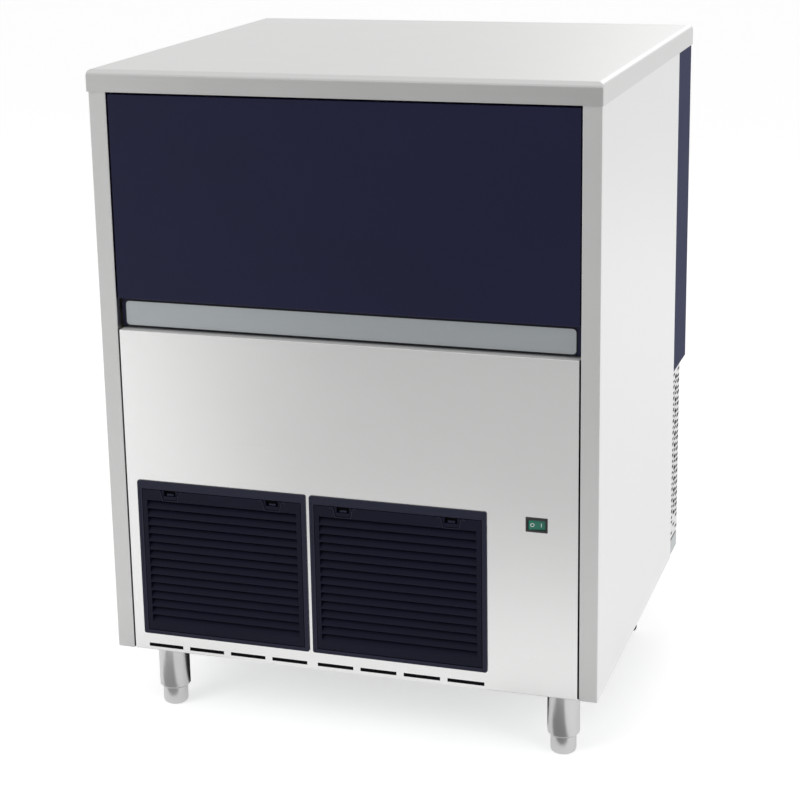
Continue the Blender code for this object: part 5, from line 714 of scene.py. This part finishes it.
def makeFrontTrimAndShade():
    spec = frontTrimAndShade
    low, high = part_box("door_grip_strip")
    centre = [(a + b) / 2 for a, b in zip(low, high)]
    half = [(b - a) / 2 - spec["foilInset"] for a, b in zip(low, high)]
    bm = bmesh.new()
    prismInto(bm, roundedRectangle(half[0], half[2], spec["foilCorner"], centre[0], centre[2]),
              low[1] - spec["foilHeight"], low[1] + sinkDepth)
    givePiece(newPiece("gripFoil", bm), "stripFoil", bodyOf["door_grip_strip"])
    # near-black strips set into the gaps beside the front panel: painted shade
    low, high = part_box("lower_front_panel")
    beside, inset = high[0] + spec["shadeStripGap"], spec["shadeStripInset"]
    bm = bmesh.new()
    for way in (-1, 1):
        edges = sorted((way * beside, way * (beside + spec["shadeStripWidth"])))
        boxInto(bm, (edges[0], spec["shadeStripFront"], low[2] + inset),
                (edges[1], spec["shadeStripBack"], high[2] - inset))
    # near-black strips behind the floor slots of the front panel: painted shade
    for left, right in spec["slotShadeSpans"]:
        boxInto(bm, (left, spec["slotShadeFront"], spec["slotShadeZ"][0]),
                (right, spec["slotShadeBack"], spec["slotShadeZ"][1]))
    givePiece(newPiece("frontSeals", bm), "paintedShade", bodyOf["lower_front_panel"])


# pan-head screws with a cross recess, in rows on the rear covers
screwHead = {"radius": 0.0036, "height": 0.0017, "sides": 24, "sink": 0.0002, "dome": 0.0009,
             "shoulder": (0.86, 0.4), "crown": 0.55, "crossLength": 0.0040, "crossWidth": 0.0009,
             "crossDepth": 0.0009, "overrun": 0.001}


def makeScrewItem():
    spec = screwHead
    bm = bmesh.new()
    radius, height, sides = spec["radius"], spec["height"], spec["sides"]
    narrower, lower = spec["shoulder"]
    levels = [(radius, -spec["sink"]), (radius, height - spec["dome"]),
              (radius * narrower, height - lower * spec["dome"]), (radius * spec["crown"], height)]
    rings = [[bm.verts.new((x, y, z)) for x, z in circle(size, sides)] for size, y in levels]
    for near, far in zip(rings, rings[1:]):
        for step in range(sides):
            after = (step + 1) % sides
            bm.faces.new((near[step], near[after], far[after], far[step]))
    bm.faces.new(rings[0][::-1])
    bm.faces.new(rings[-1])
    bmesh.ops.recalc_face_normals(bm, faces=bm.faces)
    head = newPiece("screwItem", bm)
    bm = bmesh.new()
    long, wide = spec["crossLength"] / 2, spec["crossWidth"] / 2
    outline = [(long, -wide), (long, wide), (wide, wide), (wide, long), (-wide, long), (-wide, wide),
               (-long, wide), (-long, -wide), (-wide, -wide), (-wide, -long), (wide, -long), (wide, -wide)]
    prismInto(bm, outline, height - spec["crossDepth"], height + spec["overrun"])
    cross = newPiece("crossCutter", bm)
    cut = head.modifiers.new("cross", "BOOLEAN")
    cut.operation = "DIFFERENCE"
    cut.solver = "EXACT"
    cut.object = cross
    applyModifiers(head)
    bpy.data.objects.remove(cross)
    smoothByAngle(head.data, 40)
    return head


# how far the rows of screws stay in from the covers' edges, and how far a head may be turned at random
screwRows = {"upperInset": 0.014, "upperLift": 0.02, "lowerInset": 0.012, "lowerLift": 0.014,
             "turn": (0.0, 3.1, 0.0)}


def makeRearScrews():
    spec = screwRows
    item = makeScrewItem()
    upper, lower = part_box("upper_rear_cover"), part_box("lower_rear_cover")
    halfUpper, halfLower = upper[1][0] - spec["upperInset"], lower[1][0] - spec["lowerInset"]
    height = upper[1][2] - upper[0][2] - 2 * spec["upperLift"]
    layouts = [
        {"Start": (-halfUpper, upper[1][1], upper[0][2] + spec["upperLift"]), "Turn Spread": spec["turn"],
         "Column Step": (2 * halfUpper, 0.0, 0.0), "Columns": 2,
         "Row Step": (0.0, 0.0, height / 3), "Rows": 4},
        {"Start": (-halfLower, lower[1][1], lower[0][2] + spec["lowerLift"]), "Turn Spread": spec["turn"],
         "Column Step": (halfLower * 2 / 3, 0.0, 0.0), "Columns": 4, "Rows": 1}]
    givePiece(repeatItem("rearScrews", item, "screwSteel", layouts), "screwSteel",
              bodyOf["upper_rear_cover"])
    bpy.data.objects.remove(item)


makeSwitchMarks()
makeClips("left")
makeClips("right")
makeFrontTrimAndShade()
makeRearScrews()
print("fittings made")

# plain studio: pale floor, pale surroundings, three large soft lamps, and cards on the floor that only
# reflections see, as a photographer lays them down to give steel its tone
studio = {"floorHalf": 20.0, "floorColour": (0.80, 0.80, 0.80), "floorRoughness": 0.85,
          "floorGloss": 0.15, "floorLift": 0.556, "ambient": 0.50,
          # lamps as (name, place, size, power)
          "lamps": [("keyLamp", (-2.2, -3.0, 2.6), 2.2, 50.0), ("fillLamp", (3.2, -1.6, 2.0), 2.4, 34.0),
                    ("backLamp", (0.6, 3.2, 2.6), 2.4, 12.0)],
          "lampAim": (0.0, 0.0, 0.5),
          "cardHalf": 7.0, "cardPlace": (0.0, -7.4, 0.004), "cardSkew": 0.5, "cardEdge": (-0.22, 0.30),
          "cardNear": (-0.55, -1.45), "cardDeep": (-2.2, -5.0), "cardTone": (0.72, 0.27),
          # floor cards as (low X, low Y, high X, high Y, tone); the first, near-black and under the base, is
          # a painted shadow that only reflections see
          "floorCards": [(-0.335, -0.225, 0.335, 0.200, 0.02), (-0.440, -0.520, -0.250, -0.325, 0.62),
                         (0.170, -0.520, 0.360, -0.325, 0.45)],
          "floorCardHeight": 0.003, "floorCardRoughness": 0.9}


def seenDirectly(tree):
    path = addNode(tree, "ShaderNodeLightPath").outputs
    return doMath(tree, "MAXIMUM", doMath(tree, "MAXIMUM", path["Is Camera Ray"], path["Is Glossy Ray"]),
                  path["Is Transmission Ray"])


def hideButInReflections(card):
    for way in ("visible_camera", "visible_diffuse", "visible_transmission", "visible_shadow",
                "visible_volume_scatter"):
        setattr(card, way, False)


def makeGreyCard():
    bm = bmesh.new()
    bmesh.ops.create_grid(bm, x_segments=1, y_segments=1, size=studio["cardHalf"])
    bmesh.ops.translate(bm, verts=bm.verts, vec=studio["cardPlace"])
    card = newPiece("greyCard", bm)
    mat = bpy.data.materials.new("greyCard")
    mat.use_nodes = True
    tree = mat.node_tree
    tree.nodes.clear()
    place = addNode(tree, "ShaderNodeTexCoord").outputs["Object"]
    across, forward = addNode(tree, "ShaderNodeSeparateXYZ", {0: place}).outputs[:2]
    skewed = doMath(tree, "SUBTRACT", across, doMath(tree, "MULTIPLY", forward, studio["cardSkew"]))

    def fade(value, ends, low=0.0, high=1.0):
        return addNode(tree, "ShaderNodeMapRange", {
            "Value": value, "From Min": ends[0], "From Max": ends[1], "To Min": low, "To Max": high},
            interpolation_type="SMOOTHSTEP").outputs[0]

    amount = doMath(tree, "MULTIPLY", fade(skewed, studio["cardEdge"]), fade(forward, studio["cardNear"]))
    clear = addNode(tree, "ShaderNodeBsdfTransparent")
    tone = addNode(tree, "ShaderNodeEmission", {"Strength": fade(forward, studio["cardDeep"],
                                                                 *studio["cardTone"])})
    mixed = addNode(tree, "ShaderNodeMixShader", {0: amount, 1: clear.outputs[0], 2: tone.outputs[0]})
    out = tree.nodes.new("ShaderNodeOutputMaterial")
    tree.links.new(mixed.outputs[0], out.inputs["Surface"])
    card.data.materials.append(mat)
    hideButInReflections(card)


# small cards flat on the floor under the base and in front of the feet give the feet their stripes in
# reflections; the near-black one under the base is a painted shadow of the machine
def makeFloorCards():
    height = studio["floorCardHeight"]
    for x0, y0, x1, y1, tone in studio["floorCards"]:
        bm = bmesh.new()
        bm.faces.new([bm.verts.new((x, y, height)) for x, y in ((x0, y0), (x1, y0), (x1, y1), (x0, y1))])
        card = newPiece("floorCard", bm)
        mat = bpy.data.materials.new("floorCard")
        mat.use_nodes = True
        shader = mat.node_tree.nodes["Principled BSDF"]
        shader.inputs["Base Color"].default_value = (tone, tone, tone, 1.0)
        shader.inputs["Roughness"].default_value = studio["floorCardRoughness"]
        card.data.materials.append(mat)
        hideButInReflections(card)


def makeStudio():
    world = bpy.data.worlds.new("studio")
    scene.world = world
    world.use_nodes = True
    tree = world.node_tree
    tree.nodes.clear()
    dim = addNode(tree, "ShaderNodeBackground", {"Color": (1.0, 1.0, 1.0, 1.0),
                                                 "Strength": studio["ambient"]})
    bright = addNode(tree, "ShaderNodeBackground", {"Color": (1.0, 1.0, 1.0, 1.0), "Strength": 1.0})
    mixed = addNode(tree, "ShaderNodeMixShader", {0: seenDirectly(tree), 1: dim.outputs[0],
                                                  2: bright.outputs[0]})
    out = tree.nodes.new("ShaderNodeOutputWorld")
    tree.links.new(mixed.outputs[0], out.inputs["Surface"])

    bm = bmesh.new()
    bmesh.ops.create_grid(bm, x_segments=1, y_segments=1, size=studio["floorHalf"])
    floor = newPiece("studioFloor", bm)
    mat = bpy.data.materials.new("paleFloor")
    mat.use_nodes = True
    tree = mat.node_tree
    shader = tree.nodes["Principled BSDF"]
    shader.inputs["Base Color"].default_value = (*studio["floorColour"], 1.0)
    shader.inputs["Roughness"].default_value = studio["floorRoughness"]
    shader.inputs["Specular IOR Level"].default_value = studio["floorGloss"]
    shader.inputs["Emission Color"].default_value = (1.0, 1.0, 1.0, 1.0)
    tree.links.new(doMath(tree, "MULTIPLY", seenDirectly(tree), studio["floorLift"]),
                   shader.inputs["Emission Strength"])
    floor.data.materials.append(mat)
    makeGreyCard()
    makeFloorCards()

    for name, place, size, power in studio["lamps"]:
        data = bpy.data.lights.new(name, "AREA")
        data.shape = "DISK"
        data.size = size
        data.energy = power
        lamp = bpy.data.objects.new(name, data)
        scene.collection.objects.link(lamp)
        # steel that mirrors a front lamp burns out, so reflections see only the one behind
        lamp.visible_glossy = name == "backLamp"
        aim = Vector(studio["lampAim"]) - Vector(place)
        lamp.matrix_world = Matrix.Translation(place) @ aim.to_track_quat("-Z", "Y").to_matrix().to_4x4()


makeStudio()
print("studio ready")
